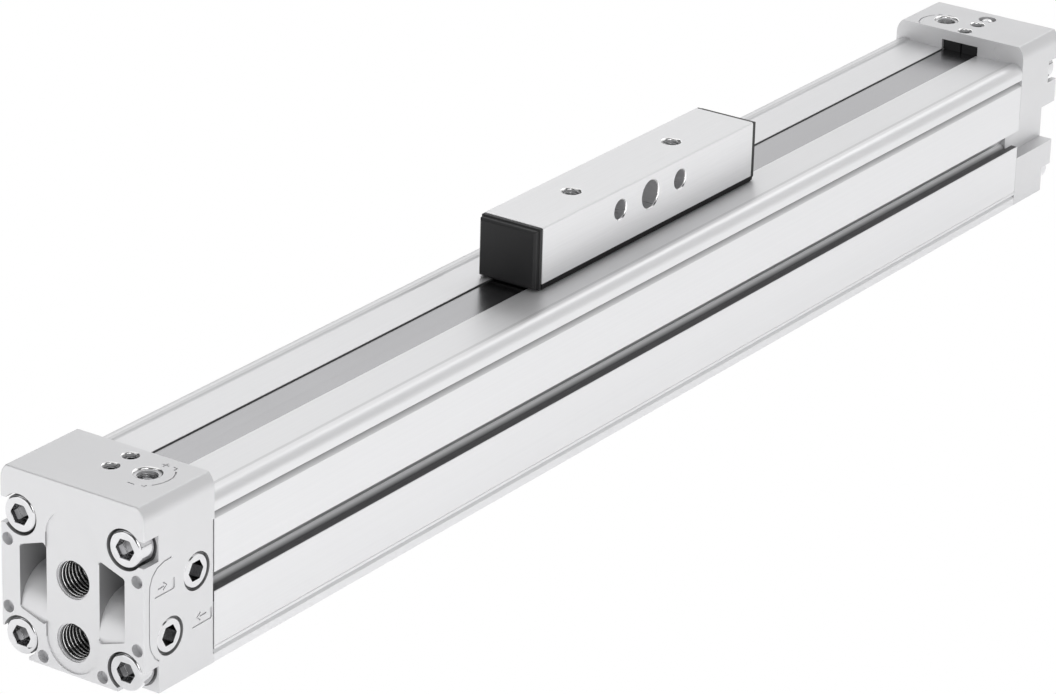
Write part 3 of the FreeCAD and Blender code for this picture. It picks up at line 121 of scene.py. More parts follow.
def soften(piece, width, angle=40, segments=2, engravings=()):
    """Rounds the edges sharper than the angle, cuts the engravings, and shades flats flat."""
    apply_modifier(
        piece, "BEVEL", width=width, segments=segments, limit_method="ANGLE",
        angle_limit=radians(angle), miter_outer="MITER_ARC",
    )
    for cutter in engravings:
        apply_modifier(piece, "BOOLEAN", operation="DIFFERENCE", solver="EXACT", object=cutter)
        bpy.data.objects.remove(cutter)
    activate(piece)
    bpy.ops.object.shade_smooth_by_angle(angle=SMOOTH_BELOW)
    apply_modifier(piece, "WEIGHTED_NORMAL", keep_sharp=True, weight=80)


def rest_in_frame(piece):
    """Puts the piece's place into its mesh, so that its object sits at the origin."""
    activate(piece)
    bpy.ops.object.transform_apply(location=True, rotation=True, scale=True)
    return piece


def copy_of_node(node, name):
    """A merged copy of a CAD node's mesh, with its flat faces joined up."""
    piece = bpy.data.objects.new(name, frame["nodes"][node].data.copy())
    bpy.context.scene.collection.objects.link(piece)
    edit(piece)
    bpy.ops.mesh.remove_doubles(threshold=0.001 * MM)
    bpy.ops.mesh.dissolve_limited(angle_limit=radians(0.5))
    leave_edit()
    return piece


def select_edges(piece, wanted):
    """Selects in edit mode the edges whose two ends both pass the test."""
    activate(piece)
    bpy.ops.object.mode_set(mode="EDIT")
    bpy.ops.mesh.select_all(action="DESELECT")
    bpy.ops.mesh.select_mode(type="EDGE")
    bpy.ops.object.mode_set(mode="OBJECT")
    mesh = piece.data
    for edge in mesh.edges:
        edge.select = all(wanted(mesh.vertices[index].co) for index in edge.vertices)
    bpy.ops.object.mode_set(mode="EDIT")


def chamfer_ring(piece, centre, axis, radius, width):
    """Bevels the circle about this centre, and returns the new lip as a piece of its own."""
    middle = Vector(centre)
    normal = Vector(axis)

    def on_ring(point):
        offset = point - middle
        along = offset.dot(normal)
        across = (offset - normal * along).length
        return abs(along) < 0.02 * MM and abs(across - radius) < 0.05 * MM

    select_edges(piece, on_ring)
    bpy.ops.mesh.bevel(offset=width, segments=2, profile=0.5)
    return split_selected(piece)


def split_selected(piece):
    """Separates what is selected in edit mode into a piece of its own."""
    bpy.ops.mesh.separate(type="SELECTED")
    leave_edit()
    return next(other for other in bpy.context.selected_objects if other != piece)


def split_faces(piece, wanted):
    """Separates the faces that pass the test."""
    activate(piece)
    bpy.ops.object.mode_set(mode="EDIT")
    bpy.ops.mesh.select_mode(type="FACE")
    bpy.ops.mesh.select_all(action="DESELECT")
    bpy.ops.object.mode_set(mode="OBJECT")
    for face in piece.data.polygons:
        face.select = wanted(face)
    bpy.ops.object.mode_set(mode="EDIT")
    return split_selected(piece)


def join_pieces(name, pieces):
    """One piece out of several, shaded smooth up to its sharp edges."""
    deselect_all()
    for piece in pieces:
        piece.select_set(True)
    bpy.context.view_layer.objects.active = pieces[0]
    bpy.ops.object.join()
    bpy.ops.object.shade_smooth_by_angle(angle=SMOOTH_BELOW)
    pieces[0].name = name
    return pieces[0]


def thread_ridge(name, mouth, axis, radius, pitch, turns, width=0.76, height=0.7):
    """A triangle swept round the hole's axis; its width and height are shares of the pitch."""
    height = height * pitch
    width = width * pitch
    full_height = width * 3 ** 0.5 / 2
    root_sink = 0.3 * height
    deselect_all()
    bpy.ops.mesh.primitive_circle_add(
        vertices=3, radius=width / 3 ** 0.5, fill_type="NOTHING", rotation=(-pi / 2, 0, 0),
    )
    ridge = bpy.context.active_object
    ridge.name = name
    rest_in_frame(ridge)
    edit(ridge)
    bpy.ops.transform.resize(value=(1, 1, height / full_height))
    bpy.ops.transform.translate(value=(0, 0, radius - root_sink))
    leave_edit()
    apply_modifier(
        ridge, "SCREW", axis="X", angle=2 * pi, screw_offset=pitch, iterations=turns,
        steps=40, render_steps=40, use_smooth_shade=True,
    )
    edit(ridge)
    bpy.ops.mesh.fill_holes(sides=0)
    bpy.ops.mesh.normals_make_consistent(inside=False)
    leave_edit()
    ridge.matrix_world = (
        Matrix.Translation(mouth) @ Vector(axis).to_track_quat("X", "Z").to_matrix().to_4x4()
    )
    return rest_in_frame(ridge)


def strokes(name, lines, radius):
    """Round strokes along open lines of points, each with its share of the radius, as one mesh."""
    curve = bpy.data.curves.new(name, "CURVE")
    curve.dimensions = "3D"
    curve.bevel_depth = radius
    curve.bevel_resolution = 1
    curve.use_fill_caps = True
    for line in lines:
        spline = curve.splines.new("POLY")
        spline.points.add(len(line) - 1)
        for point, (place, share) in zip(spline.points, line):
            point.co = (*place, 1)
            point.radius = share
    piece = bpy.data.objects.new(name, curve)
    bpy.context.scene.collection.objects.link(piece)
    activate(piece)
    bpy.ops.object.convert(target="MESH")
    return bpy.context.active_object


def finish_piece(piece, material, slot, body, *nodes):
    """Gives a piece its finish and its body, and hides the nodes that it stands for."""
    piece.data.materials.clear()
    piece.data.materials.append(material)
    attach(piece, body)
    if nodes:
        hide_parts(*nodes)
    return piece


# Shader groups

def new_group(name, inputs, outputs):
    """An empty shader group with float or colour sockets."""
    group = bpy.data.node_groups.new(name, "ShaderNodeTree")
    for title, kind, default in inputs:
        socket = group.interface.new_socket(title, in_out="INPUT", socket_type=kind)
        socket.default_value = default
    for title, kind in outputs:
        group.interface.new_socket(title, in_out="OUTPUT", socket_type=kind)
    start = group.nodes.new("NodeGroupInput")
    end = group.nodes.new("NodeGroupOutput")
    return group, start, end


def node(tree, kind, **settings):
    """A node with its settings; a list or a number for an input's name sets that input."""
    made = tree.nodes.new("ShaderNode" + kind)
    for name, value in settings.items():
        if name in made.inputs:
            made.inputs[name].default_value = value
        else:
            setattr(made, name, value)
    return made


def grain_group():
    """Fine drawn lines along one axis, with slow clouding between them."""
    group, start, end = new_group(
        "Drawn grain",
        [
            ("Along", "NodeSocketVector", (6.0, 900.0, 900.0)),
            ("Cloud Scale", "NodeSocketFloat", 22.0),
            ("Line Share", "NodeSocketFloat", 0.6),
        ],
        [("Mask", "NodeSocketFloat"), ("Height", "NodeSocketFloat")],
    )
    links = group.links
    place = node(group, "TexCoord")
    stretch = node(group, "VectorMath", operation="MULTIPLY")
    links.new(place.outputs["Object"], stretch.inputs[0])
    links.new(start.outputs["Along"], stretch.inputs[1])
    lines = node(group, "TexNoise", Scale=1.0, Detail=3.0, Roughness=0.65)
    links.new(stretch.outputs["Vector"], lines.inputs["Vector"])
    clouds = node(group, "TexNoise", Detail=2.0, Roughness=0.5)
    links.new(place.outputs["Object"], clouds.inputs["Vector"])
    links.new(start.outputs["Cloud Scale"], clouds.inputs["Scale"])
    mix = node(group, "Mix", data_type="FLOAT")
    links.new(start.outputs["Line Share"], mix.inputs[0])
    links.new(clouds.outputs["Fac"], mix.inputs[2])
    links.new(lines.outputs["Fac"], mix.inputs[3])
    links.new(mix.outputs[0], end.inputs["Mask"])
    links.new(lines.outputs["Fac"], end.inputs["Height"])
    return group


def casting_group():
    """The fine pebbled skin of a die casting or a moulding."""
    group, start, end = new_group(
        "Cast skin",
        [("Pebble Scale", "NodeSocketFloat", 2600.0), ("Patch Scale", "NodeSocketFloat", 60.0)],
        [("Mask", "NodeSocketFloat"), ("Height", "NodeSocketFloat")],
    )
    links = group.links
    place = node(group, "TexCoord")
    pebbles = node(group, "TexNoise", Detail=2.0, Roughness=0.6)
    patches = node(group, "TexNoise", Detail=3.0, Roughness=0.55)
    for noise, scale in ((pebbles, "Pebble Scale"), (patches, "Patch Scale")):
        links.new(place.outputs["Object"], noise.inputs["Vector"])
        links.new(start.outputs[scale], noise.inputs["Scale"])
    links.new(patches.outputs["Fac"], end.inputs["Mask"])
    links.new(pebbles.outputs["Fac"], end.inputs["Height"])
    return group


def painted_shade_group():
    """A mask of painted shade that grows with depth, between two heights and inside a half width."""
    group, start, end = new_group(
        "Painted recess shade",
        [
            ("Depth Axis", "NodeSocketVector", (0, 0, 1)),
            ("Clear Depth", "NodeSocketFloat", 0.0),
            ("Full Depth", "NodeSocketFloat", 0.0),
            ("Half Width", "NodeSocketFloat", 0.02),
            ("Bottom", "NodeSocketFloat", 0.0),
            ("Top", "NodeSocketFloat", 0.1),
        ],
        [("Mask", "NodeSocketFloat")],
    )
    links = group.links
    place = node(group, "TexCoord")
    unsigned = node(group, "VectorMath", operation="ABSOLUTE")
    links.new(place.outputs["Object"], unsigned.inputs[0])
    split = node(group, "SeparateXYZ")
    links.new(unsigned.outputs[0], split.inputs[0])
    along = node(group, "VectorMath", operation="DOT_PRODUCT")
    links.new(unsigned.outputs[0], along.inputs[0])
    links.new(start.outputs["Depth Axis"], along.inputs[1])
    depth = node(group, "MapRange")
    links.new(along.outputs["Value"], depth.inputs["Value"])
    links.new(start.outputs["Clear Depth"], depth.inputs["From Min"])
    links.new(start.outputs["Full Depth"], depth.inputs["From Max"])
    mask = depth.outputs["Result"]
    limits = (("Y", "LESS_THAN", "Half Width"), ("Z", "GREATER_THAN", "Bottom"),
              ("Z", "LESS_THAN", "Top"))
    for axis, comparison, limit in limits:
        test = node(group, "Math", operation=comparison)
        links.new(split.outputs[axis], test.inputs[0])
        links.new(start.outputs[limit], test.inputs[1])
        product = node(group, "Math", operation="MULTIPLY")
        links.new(mask, product.inputs[0])
        links.new(test.outputs[0], product.inputs[1])
        mask = product.outputs[0]
    links.new(mask, end.inputs["Mask"])
    return group


# The barrel's hollows with shade painted into them: the share of its colour left in them, then the
# mask's inputs in metres
RECESS_INPUTS = ("Depth Axis", "Clear Depth", "Full Depth", "Half Width", "Bottom", "Top")
BARREL_PAINTED_SHADE = (
    # painted shade in the sensor slots, behind their lips
    (0.16, (0, 1, 0), 0.0171, 0.018, 0.0223, 0.0165, 0.0206),
    # painted shade in the upper clamping grooves
    (0.5, (0, 1, 0), 0.0225, 0.0212, 0.03, 0.039, 0.041),
    # a painted dark line of shade along the inner edges of the two rails
    (0.8, (0, 0, 1), 0.0453, 0.0456, 0.019, 0.04525, 0.05),
    # a painted shadow line in the seat of the cover band
    (0.2, (0, 0, 1), 0.0452, 0.0451, 0.012, 0.043, 0.05),
)


def paint_recess_shade(material, group, colour, inputs):
    """Paints shade into a material's recesses: takes its colour down to a darker one by their mask.
    """
    tree = material.node_tree
    shader = tree.nodes["Principled BSDF"]
    bright = shader.inputs["Base Color"].links[0].from_socket
    recess = tree.nodes.new("ShaderNodeGroup")
    recess.node_tree = group
    for title, value in inputs.items():
        recess.inputs[title].default_value = value
    mix = node(tree, "Mix", data_type="RGBA")
    tree.links.new(recess.outputs["Mask"], mix.inputs[0])
    tree.links.new(bright, mix.inputs[6])
    mix.inputs[7].default_value = (*colour, 1)
    tree.links.new(mix.outputs[2], shader.inputs["Base Color"])


def finish_material(name, group, inputs, colours, roughness, metallic, bump, specular=0.5):
    """A material whose colour and roughness vary by a group's mask, with its height as bump."""
    material = bpy.data.materials.new(name)
    material.use_nodes = True
    tree = material.node_tree
    shader = tree.nodes["Principled BSDF"]
    skin = tree.nodes.new("ShaderNodeGroup")
    skin.node_tree = group
    for title, value in inputs.items():
        skin.inputs[title].default_value = value
    ramp = tree.nodes.new("ShaderNodeValToRGB")
    ramp.color_ramp.elements[0].position = 0.3
    ramp.color_ramp.elements[1].position = 0.7
    for stop, colour in zip(ramp.color_ramp.elements, colours):
        stop.color = (*colour, 1.0)
    tree.links.new(skin.outputs["Mask"], ramp.inputs["Fac"])
    tree.links.new(ramp.outputs["Color"], shader.inputs["Base Color"])
    spread = node(tree, "MapRange")
    spread.inputs["From Min"].default_value = 0.3
    spread.inputs["From Max"].default_value = 0.7
    spread.inputs["To Min"].default_value = roughness[0]
    spread.inputs["To Max"].default_value = roughness[1]
    tree.links.new(skin.outputs["Mask"], spread.inputs["Value"])
    tree.links.new(spread.outputs["Result"], shader.inputs["Roughness"])
    relief = node(tree, "Bump", Strength=bump[0], Distance=bump[1])
    tree.links.new(skin.outputs["Height"], relief.inputs["Height"])
    tree.links.new(relief.outputs["Normal"], shader.inputs["Normal"])
    shader.inputs["Metallic"].default_value = metallic
    shader.inputs["Specular IOR Level"].default_value = specular
    return material


MATERIALS = {}


def make_materials(colours):
    """Every finish on the cylinder, by the record's slot name or by a name of its own."""
    grain = grain_group()
    skin = casting_group()

    def shade(colour, share):
        return tuple(channel * share for channel in colour)

    extruded = tuple(colours.extrusion)
    cast = tuple(colours.casting)
    machined = tuple(colours.carriage)
    band = tuple(colours.band)
    plated = tuple(colours.plating)
    lip = tuple(colours.lip)
    black = tuple(colours.plastic)
    MATERIALS["clear_anodised_aluminium"] = finish_material(
        "Clear anodised extrusion", grain, {"Along": (5, 1500, 1500), "Line Share": 0.7},
        (shade(extruded, 0.95), extruded), (0.38, 0.46), 0.6, (0.04, 0.00005),
    )
    # Shade painted into the barrel's slots, grooves, rail edges and band seat
    recess = painted_shade_group()
    for share, *measures in BARREL_PAINTED_SHADE:
        paint_recess_shade(
            MATERIALS["clear_anodised_aluminium"], recess, shade(extruded, share),
            dict(zip(RECESS_INPUTS, measures)),
        )
    MATERIALS["cast_aluminium"] = finish_material(
        "Satin die casting", skin, {"Pebble Scale": 2200.0},
        (shade(cast, 0.94), cast), (0.44, 0.54), 0.48, (0.16, 0.0001),
    )
    # The upright walls of the hollows, the screw seats and the plug recesses: the casting darkened as
    # painted shade
    MATERIALS["hollow_wall"] = finish_material(
        "Casting wall with painted shade", skin, {"Pebble Scale": 2200.0},
        (shade(cast, 0.42), shade(cast, 0.5)), (0.5, 0.6), 0.5, (0.16, 0.0001),
    )
    # The walls of the carriage's side holes: the machined finish darkened as painted shade
    MATERIALS["hole_wall"] = finish_material(
        "Drilled wall with painted shade", grain, {"Along": (3000, 90, 90), "Line Share": 0.8},
        (shade(machined, 0.72), shade(machined, 0.8)), (0.25, 0.35), 0.5, (0.1, 0.00005),
    )
    MATERIALS["carriage_aluminium"] = finish_material(
        "Machined carriage", grain, {"Along": (60, 3000, 3000), "Line Share": 0.8},
        (shade(machined, 0.93), machined), (0.34, 0.46), 0.45, (0.10, 0.00005),
    )
    # Threads in the tops' holes: turned metal kept darker than the carriage, partly as painted shade
    # in the thread grooves
    MATERIALS["turned_aluminium"] = finish_material(
        "Turned aluminium with painted shade", grain, {"Along": (3000, 90, 90), "Line Share": 0.8},
        (shade(machined, 0.6), shade(machined, 0.75)), (0.16, 0.26), 1.0, (0.08, 0.00005),
    )
    # Lips of the holes and crests of the port threads: bare cut metal, made brighter still as a
    # painted highlight
    MATERIALS["bright_lip"] = finish_material(
        "Bright cut lip and painted highlight", grain, {"Along": (900, 900, 900), "Line Share": 0.8},
        (shade(lip, 0.92), lip), (0.12, 0.2), 1.0, (0.04, 0.00003),
    )
    # Inside the hexagon sockets: the plating darkened as painted shade
    MATERIALS["shaded_socket_steel"] = finish_material(
        "Socket steel with painted shade", skin, {"Pebble Scale": 1500.0, "Patch Scale": 300.0},
        (shade(plated, 0.38), shade(plated, 0.65)), (0.03, 0.08), 1.0, (0.04, 0.00004),
    )
    # A thin near-black sheet over the port threads' roots: painted shade
    MATERIALS["thread_root"] = finish_material(
        "Painted thread-root shade", skin, {"Pebble Scale": 1500.0},
        (shade(cast, 0.06), shade(cast, 0.1)), (0.4, 0.5), 0.8, (0.1, 0.00005),
    )
    MATERIALS["stainless_band"] = finish_material(
        "Rolled stainless band", grain, {"Along": (4, 2200, 2200), "Line Share": 0.6},
        (shade(band, 0.9), band), (0.2, 0.28), 1.0, (0.04, 0.00004),
    )
    MATERIALS["zinc_plated_steel"] = finish_material(
        "Bright plating", skin, {"Pebble Scale": 1500.0, "Patch Scale": 300.0},
        (shade(plated, 0.9), plated), (0.08, 0.16), 1.0, (0.04, 0.00004),
    )
    MATERIALS["black_plastic"] = finish_material(
        "Moulded black plastic", skin, {"Pebble Scale": 3500.0, "Patch Scale": 120.0},
        (shade(black, 0.8), black), (0.42, 0.5), 0.0, (0.2, 0.0001), 0.3,
    )
    # The slide strip under the carriage: the black plastic darkened further as painted shade
    MATERIALS["shaded_strip_plastic"] = finish_material(
        "Black slide strip with painted shade", grain, {"Along": (30, 900, 900)},
        (shade(black, 0.3), shade(black, 0.45)), (0.5, 0.6), 0.0, (0.1, 0.00005), 0.15,
    )
    MATERIALS["seal_rubber"] = finish_material(
        "Seal rubber", skin, {"Pebble Scale": 2000.0},
        ((0.012, 0.012, 0.012), (0.03, 0.03, 0.03)), (0.6, 0.7), 0.0, (0.2, 0.0001),
    )
    MATERIALS["sealing_band_plastic"] = finish_material(
        "Sealing band plastic", grain, {"Along": (8, 700, 700)},
        ((0.45, 0.42, 0.36), (0.6, 0.57, 0.5)), (0.3, 0.4), 0.0, (0.05, 0.0001),
    )
    MATERIALS["rubber_bonded_magnet"] = finish_material(
        "Rubber bonded magnet", skin, {"Pebble Scale": 1600.0},
        ((0.04, 0.035, 0.03), (0.09, 0.08, 0.07)), (0.6, 0.75), 0.0, (0.2, 0.0001),
    )
    MATERIALS["ferrite"] = finish_material(
        "Sintered ferrite", skin, {"Pebble Scale": 1800.0},
        ((0.05, 0.05, 0.055), (0.11, 0.11, 0.12)), (0.5, 0.65), 0.3, (0.2, 0.0001),
    )


# What a user would change

class CylinderColours(bpy.types.PropertyGroup):
    extrusion: bpy.props.FloatVectorProperty(
        name="Extrusion", description="Clear anodised barrel", subtype="COLOR",
        size=3, min=0, max=1, default=(0.72, 0.72, 0.73),
    )
    casting: bpy.props.FloatVectorProperty(
        name="Castings", description="Satin end caps", subtype="COLOR",
        size=3, min=0, max=1, default=(0.68, 0.68, 0.69),
    )
    carriage: bpy.props.FloatVectorProperty(
        name="Carriage", description="Machined carriage", subtype="COLOR",
        size=3, min=0, max=1, default=(0.78, 0.78, 0.79),
    )
    band: bpy.props.FloatVectorProperty(
        name="Cover band", description="Rolled stainless cover band", subtype="COLOR",
        size=3, min=0, max=1, default=(0.39, 0.39, 0.4),
    )
    plating: bpy.props.FloatVectorProperty(
        name="Plating", description="Screws, plugs and other plated steel", subtype="COLOR",
        size=3, min=0, max=1, default=(0.62, 0.62, 0.63),
    )
    # The lips' colour: bare cut metal, made brighter as a painted highlight
    lip: bpy.props.FloatVectorProperty(
        name="Cut lips", description="Freshly cut lips of the holes", subtype="COLOR",
        size=3, min=0, max=1, default=(0.9, 0.9, 0.9),
    )
    plastic: bpy.props.FloatVectorProperty(
        name="Black plastic", description="Carriage ends, strip and band clamps",
        subtype="COLOR", size=3, min=0, max=1, default=(0.016, 0.016, 0.017),
    )


class CylinderSizes(bpy.types.PropertyGroup):
    extrusion_edge: bpy.props.FloatProperty(
        name="Extrusion edges", description="Rounding of the barrel's edges",
        default=0.12 * MM, unit="LENGTH",
    )
    casting_edge: bpy.props.FloatProperty(
        name="Casting edges", description="Rounding of the end caps' edges",
        default=0.18 * MM, unit="LENGTH",
    )
    carriage_edge: bpy.props.FloatProperty(
        name="Carriage edges", description="Rounding of the carriage's edges",
        default=0.12 * MM, unit="LENGTH",
    )
    plastic_edge: bpy.props.FloatProperty(
        name="Plastic edges", description="Rounding of the carriage's black ends",
        default=0.3 * MM, unit="LENGTH",
    )
    screw_rim: bpy.props.FloatProperty(
        name="Screw rims", description="Rounding of the screws' and plugs' rims",
        default=0.35 * MM, unit="LENGTH",
    )
    mark_depth: bpy.props.FloatProperty(
        name="Mark depth", description="Depth of the marks in the end caps",
        default=0.3 * MM, unit="LENGTH",
    )
    lens: bpy.props.FloatProperty(
        name="Lens", description="Focal length of the camera, in millimetres", default=166.13,
    )
    softbox_share: bpy.props.FloatProperty(
        name="Softboxes", description="Share of the softboxes' full brightness", default=1.0,
    )
    ambient: bpy.props.FloatProperty(
        name="Ambient", description="Strength of the white surroundings", default=0.1,
    )


# The pieces

class RODLESS_OT_materials(bpy.types.Operator):
    """Make the finishes and put them on every CAD node"""
    bl_idname = "rodless.materials"
    bl_label = "Finishes"

    def execute(self, context):
        make_materials(context.scene.cylinder_colours)
        slots = {entry["node"]: entry["material_slot"] for entry in frame["record"]["subparts"]}
        for name, obj in frame["nodes"].items():
            obj.data.materials.clear()
            finish = "shaded_strip_plastic" if name == "carriage_slide_strip" else slots[name]
            obj.data.materials.append(MATERIALS[finish])
        return {"FINISHED"}


class RODLESS_OT_barrel(bpy.types.Operator):
    """Model the extruded barrel with its softened edges"""
    bl_idname = "rodless.barrel"
    bl_label = "Barrel"

    def execute(self, context):
        barrel = copy_of_node("barrel_profile", "extruded_barrel")
        soften(barrel, context.scene.cylinder_sizes.extrusion_edge)
        finish_piece(
            barrel, MATERIALS["clear_anodised_aluminium"], "clear_anodised_aluminium",
            "cylinder", "barrel_profile",
        )
        return {"FINISHED"}


def on_cap(end, along, across, up):
    """A point given from a cap's outer face; the far cap is the near one turned round."""
    if end == "near":
        return (CAP_FRONT + along * MM, across * MM, up * MM)
    return (CAP_BACK - along * MM, -across * MM, up * MM)


class RODLESS_OT_end_caps(bpy.types.Operator):
    """Model the two cast end caps with their soft edges, cut lips brightened as a painted highlight,
    walls darkened as painted shade and engraved marks
    """
    bl_idname = "rodless.end_caps"
    bl_label = "End caps"

    # Points of the engraved strokes, in millimetres: from the cap's outer face, up its side or
    # across its top, and the share of the full mark depth. No two strokes of a cutter touch
    SIDE_MARKS = (
        ((4.1, 26.3, 1), (11.3, 26.3, 1), (11.5, 26.7, 1.8), (11.4, 29.2, 1.8)),
        ((5.4, 28.2, 1), (7.6, 28.3, 1)),
        ((7.3, 27.3, 1), (8.7, 28.4, 1), (7.3, 29.4, 1)),
        ((18.7, 12.7, 1), (25.9, 12.8, 1), (26.1, 13.2, 1.6), (25.9, 15.7, 1.6)),
        ((24.2, 14.9, 1), (21.6, 14.8, 1)),
        ((21.9, 15.9, 1), (20.4, 14.8, 1), (21.9, 13.7, 1)),
        ((10.6, 35.0, 1), (8.0, 34.9, 1), (5.2, 34.1, 1), (3.2, 32.3, 1), (2.2, 29.9, 1),
         (2.0, 26.0, 1), (2.0, 15.0, 1), (2.3, 13.2, 1), (3.0, 11.7, 1), (4.2, 10.0, 1),
         (5.7, 8.8, 1)),
    )
    TOP_MARKS = (
        ((23.6, -9.3, 1), (23.6, -11.5, 1)),
        ((10.1, -9.3, 1), (10.1, -11.5, 1)),
        ((23.9, -12.6, 1), (23.7, -13.9, 1), (22.4, -13.9, 1)),
        ((10.6, -13.2, 1), (10.7, -14.1, 1), (11.6, -14.1, 1)),
        ((22.1, -14.8, 1), (20.6, -15.8, 1), (18.9, -16.4, 1), (16.9, -16.6, 1),
         (14.9, -16.3, 1), (13.3, -15.7, 1), (12.2, -15.1, 1)),
    )
    CROSS_MARKS = (((22.5, -10.4, 1), (24.7, -10.4, 1)),)

    # How far the middle of a stroke lies under the surface
    MARK_SINK = 0.18

    # The two clamp holes, then the cushion screw's hole
    TOP_HOLES = {
        # from the outer face, across, radius, width of the lip
        "near": ((22.8, 0, 2, 0.35), (15.2, 0, 2, 0.35), (17.3, -9.8, 3.4, 0.45)),
        "far": ((19.5, 0, 2, 0.35), (11.9, 0, 2, 0.35), (14.0, -9.8, 3.4, 0.45)),
    }

    # The upright walls of the two hollows: how far from the middle, and how deep they reach
    HOLLOW_WALLS = (8.3, 16.5)
    HOLLOW_REACH = 16

    # The seats of the screw heads: across and up to their axes, radius and depth
    SEAT_AXES = ((16.5, 6.0), (16.5, 39.0))
    SEAT_RADIUS = 5.5
    SEAT_DEPTH = 6.1

    # The recesses of the side plugs: from the outer face, up, and their radius
    PLUG_RECESSES = {"near": ((20.4, 27.5), (10.0, 14.0)), "far": ((15.4, 27.5), (10.0, 14.0))}
    PLUG_RECESS_RADIUS = 5.1
    PLUG_RECESS_DEPTH = 1.2

    def on_hollow_wall(self, face):
        """Whether a face is one of the upright walls inside the two hollows."""
        if abs(face.normal.y) < 0.98 or abs(face.center.x) < CAP_BACK - self.HOLLOW_REACH * MM:
            return False
        return any(abs(abs(face.center.y) - wall * MM) < 0.05 * MM for wall in self.HOLLOW_WALLS)

    def in_screw_seat(self, face):
        """Whether a face is on the wall or the floor of a screw head's seat."""
        depth = (CAP_BACK - abs(face.center.x)) / MM
        reach = min(
            hypot(abs(face.center.y) / MM - across, face.center.z / MM - up)
            for across, up in self.SEAT_AXES
        )
        if abs(face.normal.x) > 0.98:
            return abs(depth - self.SEAT_DEPTH) < 0.05 and reach < self.SEAT_RADIUS
        return (abs(reach - self.SEAT_RADIUS) < 0.15 and abs(face.normal.x) < 0.2
                and 0.1 < depth < self.SEAT_DEPTH)

    def in_plug_recess(self, face):
        """Whether a face is on the wall or the floor of a side plug's recess."""
        end = "near" if face.center.x < 0 else "far"
        inwards = (CAP_BACK - abs(face.center.x)) / MM
        depth = (abs(CAP_SIDE) - abs(face.center.y)) / MM
        reach = min(
            hypot(inwards - along, face.center.z / MM - up)
            for along, up in self.PLUG_RECESSES[end]
        )
        if not 0.1 < depth < self.PLUG_RECESS_DEPTH + 0.1:
            return False
        if abs(face.normal.y) > 0.98:
            return reach < self.PLUG_RECESS_RADIUS
        return abs(reach - self.PLUG_RECESS_RADIUS) < 0.12 and abs(face.normal.y) < 0.2

    def is_shaded(self, face):
        """Whether a face lies so deep in the casting that it is given painted shade."""
        tests = (self.on_hollow_wall, self.in_screw_seat, self.in_plug_recess)
        return any(test(face) for test in tests)

    def execute(self, context):
        sizes = context.scene.cylinder_sizes
        side = CAP_SIDE / MM + self.MARK_SINK
        top = CAP_TOP / MM - self.MARK_SINK
        for end in ("near", "far"):
            cap = copy_of_node(end + "_end_cap", end + "_cap_casting")
            on_side = [
                [(on_cap(end, x, side, z), share) for x, z, share in line]
                for line in self.SIDE_MARKS
            ]
            on_top, across = (
                [[(on_cap(end, x, y, top), share) for x, y, share in line] for line in lines]
                for lines in (self.TOP_MARKS, self.CROSS_MARKS)
            )
            marks = strokes("marks", on_side + on_top, sizes.mark_depth)
            crosses = strokes("crosses", across, sizes.mark_depth)
            lips = [
                chamfer_ring(
                    cap, on_cap(end, x, y, CAP_TOP / MM), (0, 0, 1), radius * MM, width * MM,
                )
                for x, y, radius, width in self.TOP_HOLES[end]
            ]
            soften(cap, sizes.casting_edge, engravings=(marks, crosses))
            # The walls of the hollows, seats and recesses are split off in a darker finish: painted
            # shade
            walls = split_faces(cap, self.is_shaded)
            walls.name = end + "_cap_shaded_walls"
            finish_piece(walls, MATERIALS["hollow_wall"], "cast_aluminium", "cylinder")
            finish_piece(
                join_pieces(end + "_cap_lips", lips), MATERIALS["bright_lip"],
                "cast_aluminium", "cylinder",
            )
            finish_piece(
                cap, MATERIALS["cast_aluminium"], "cast_aluminium", "cylinder",
                end + "_end_cap",
            )
        return {"FINISHED"}


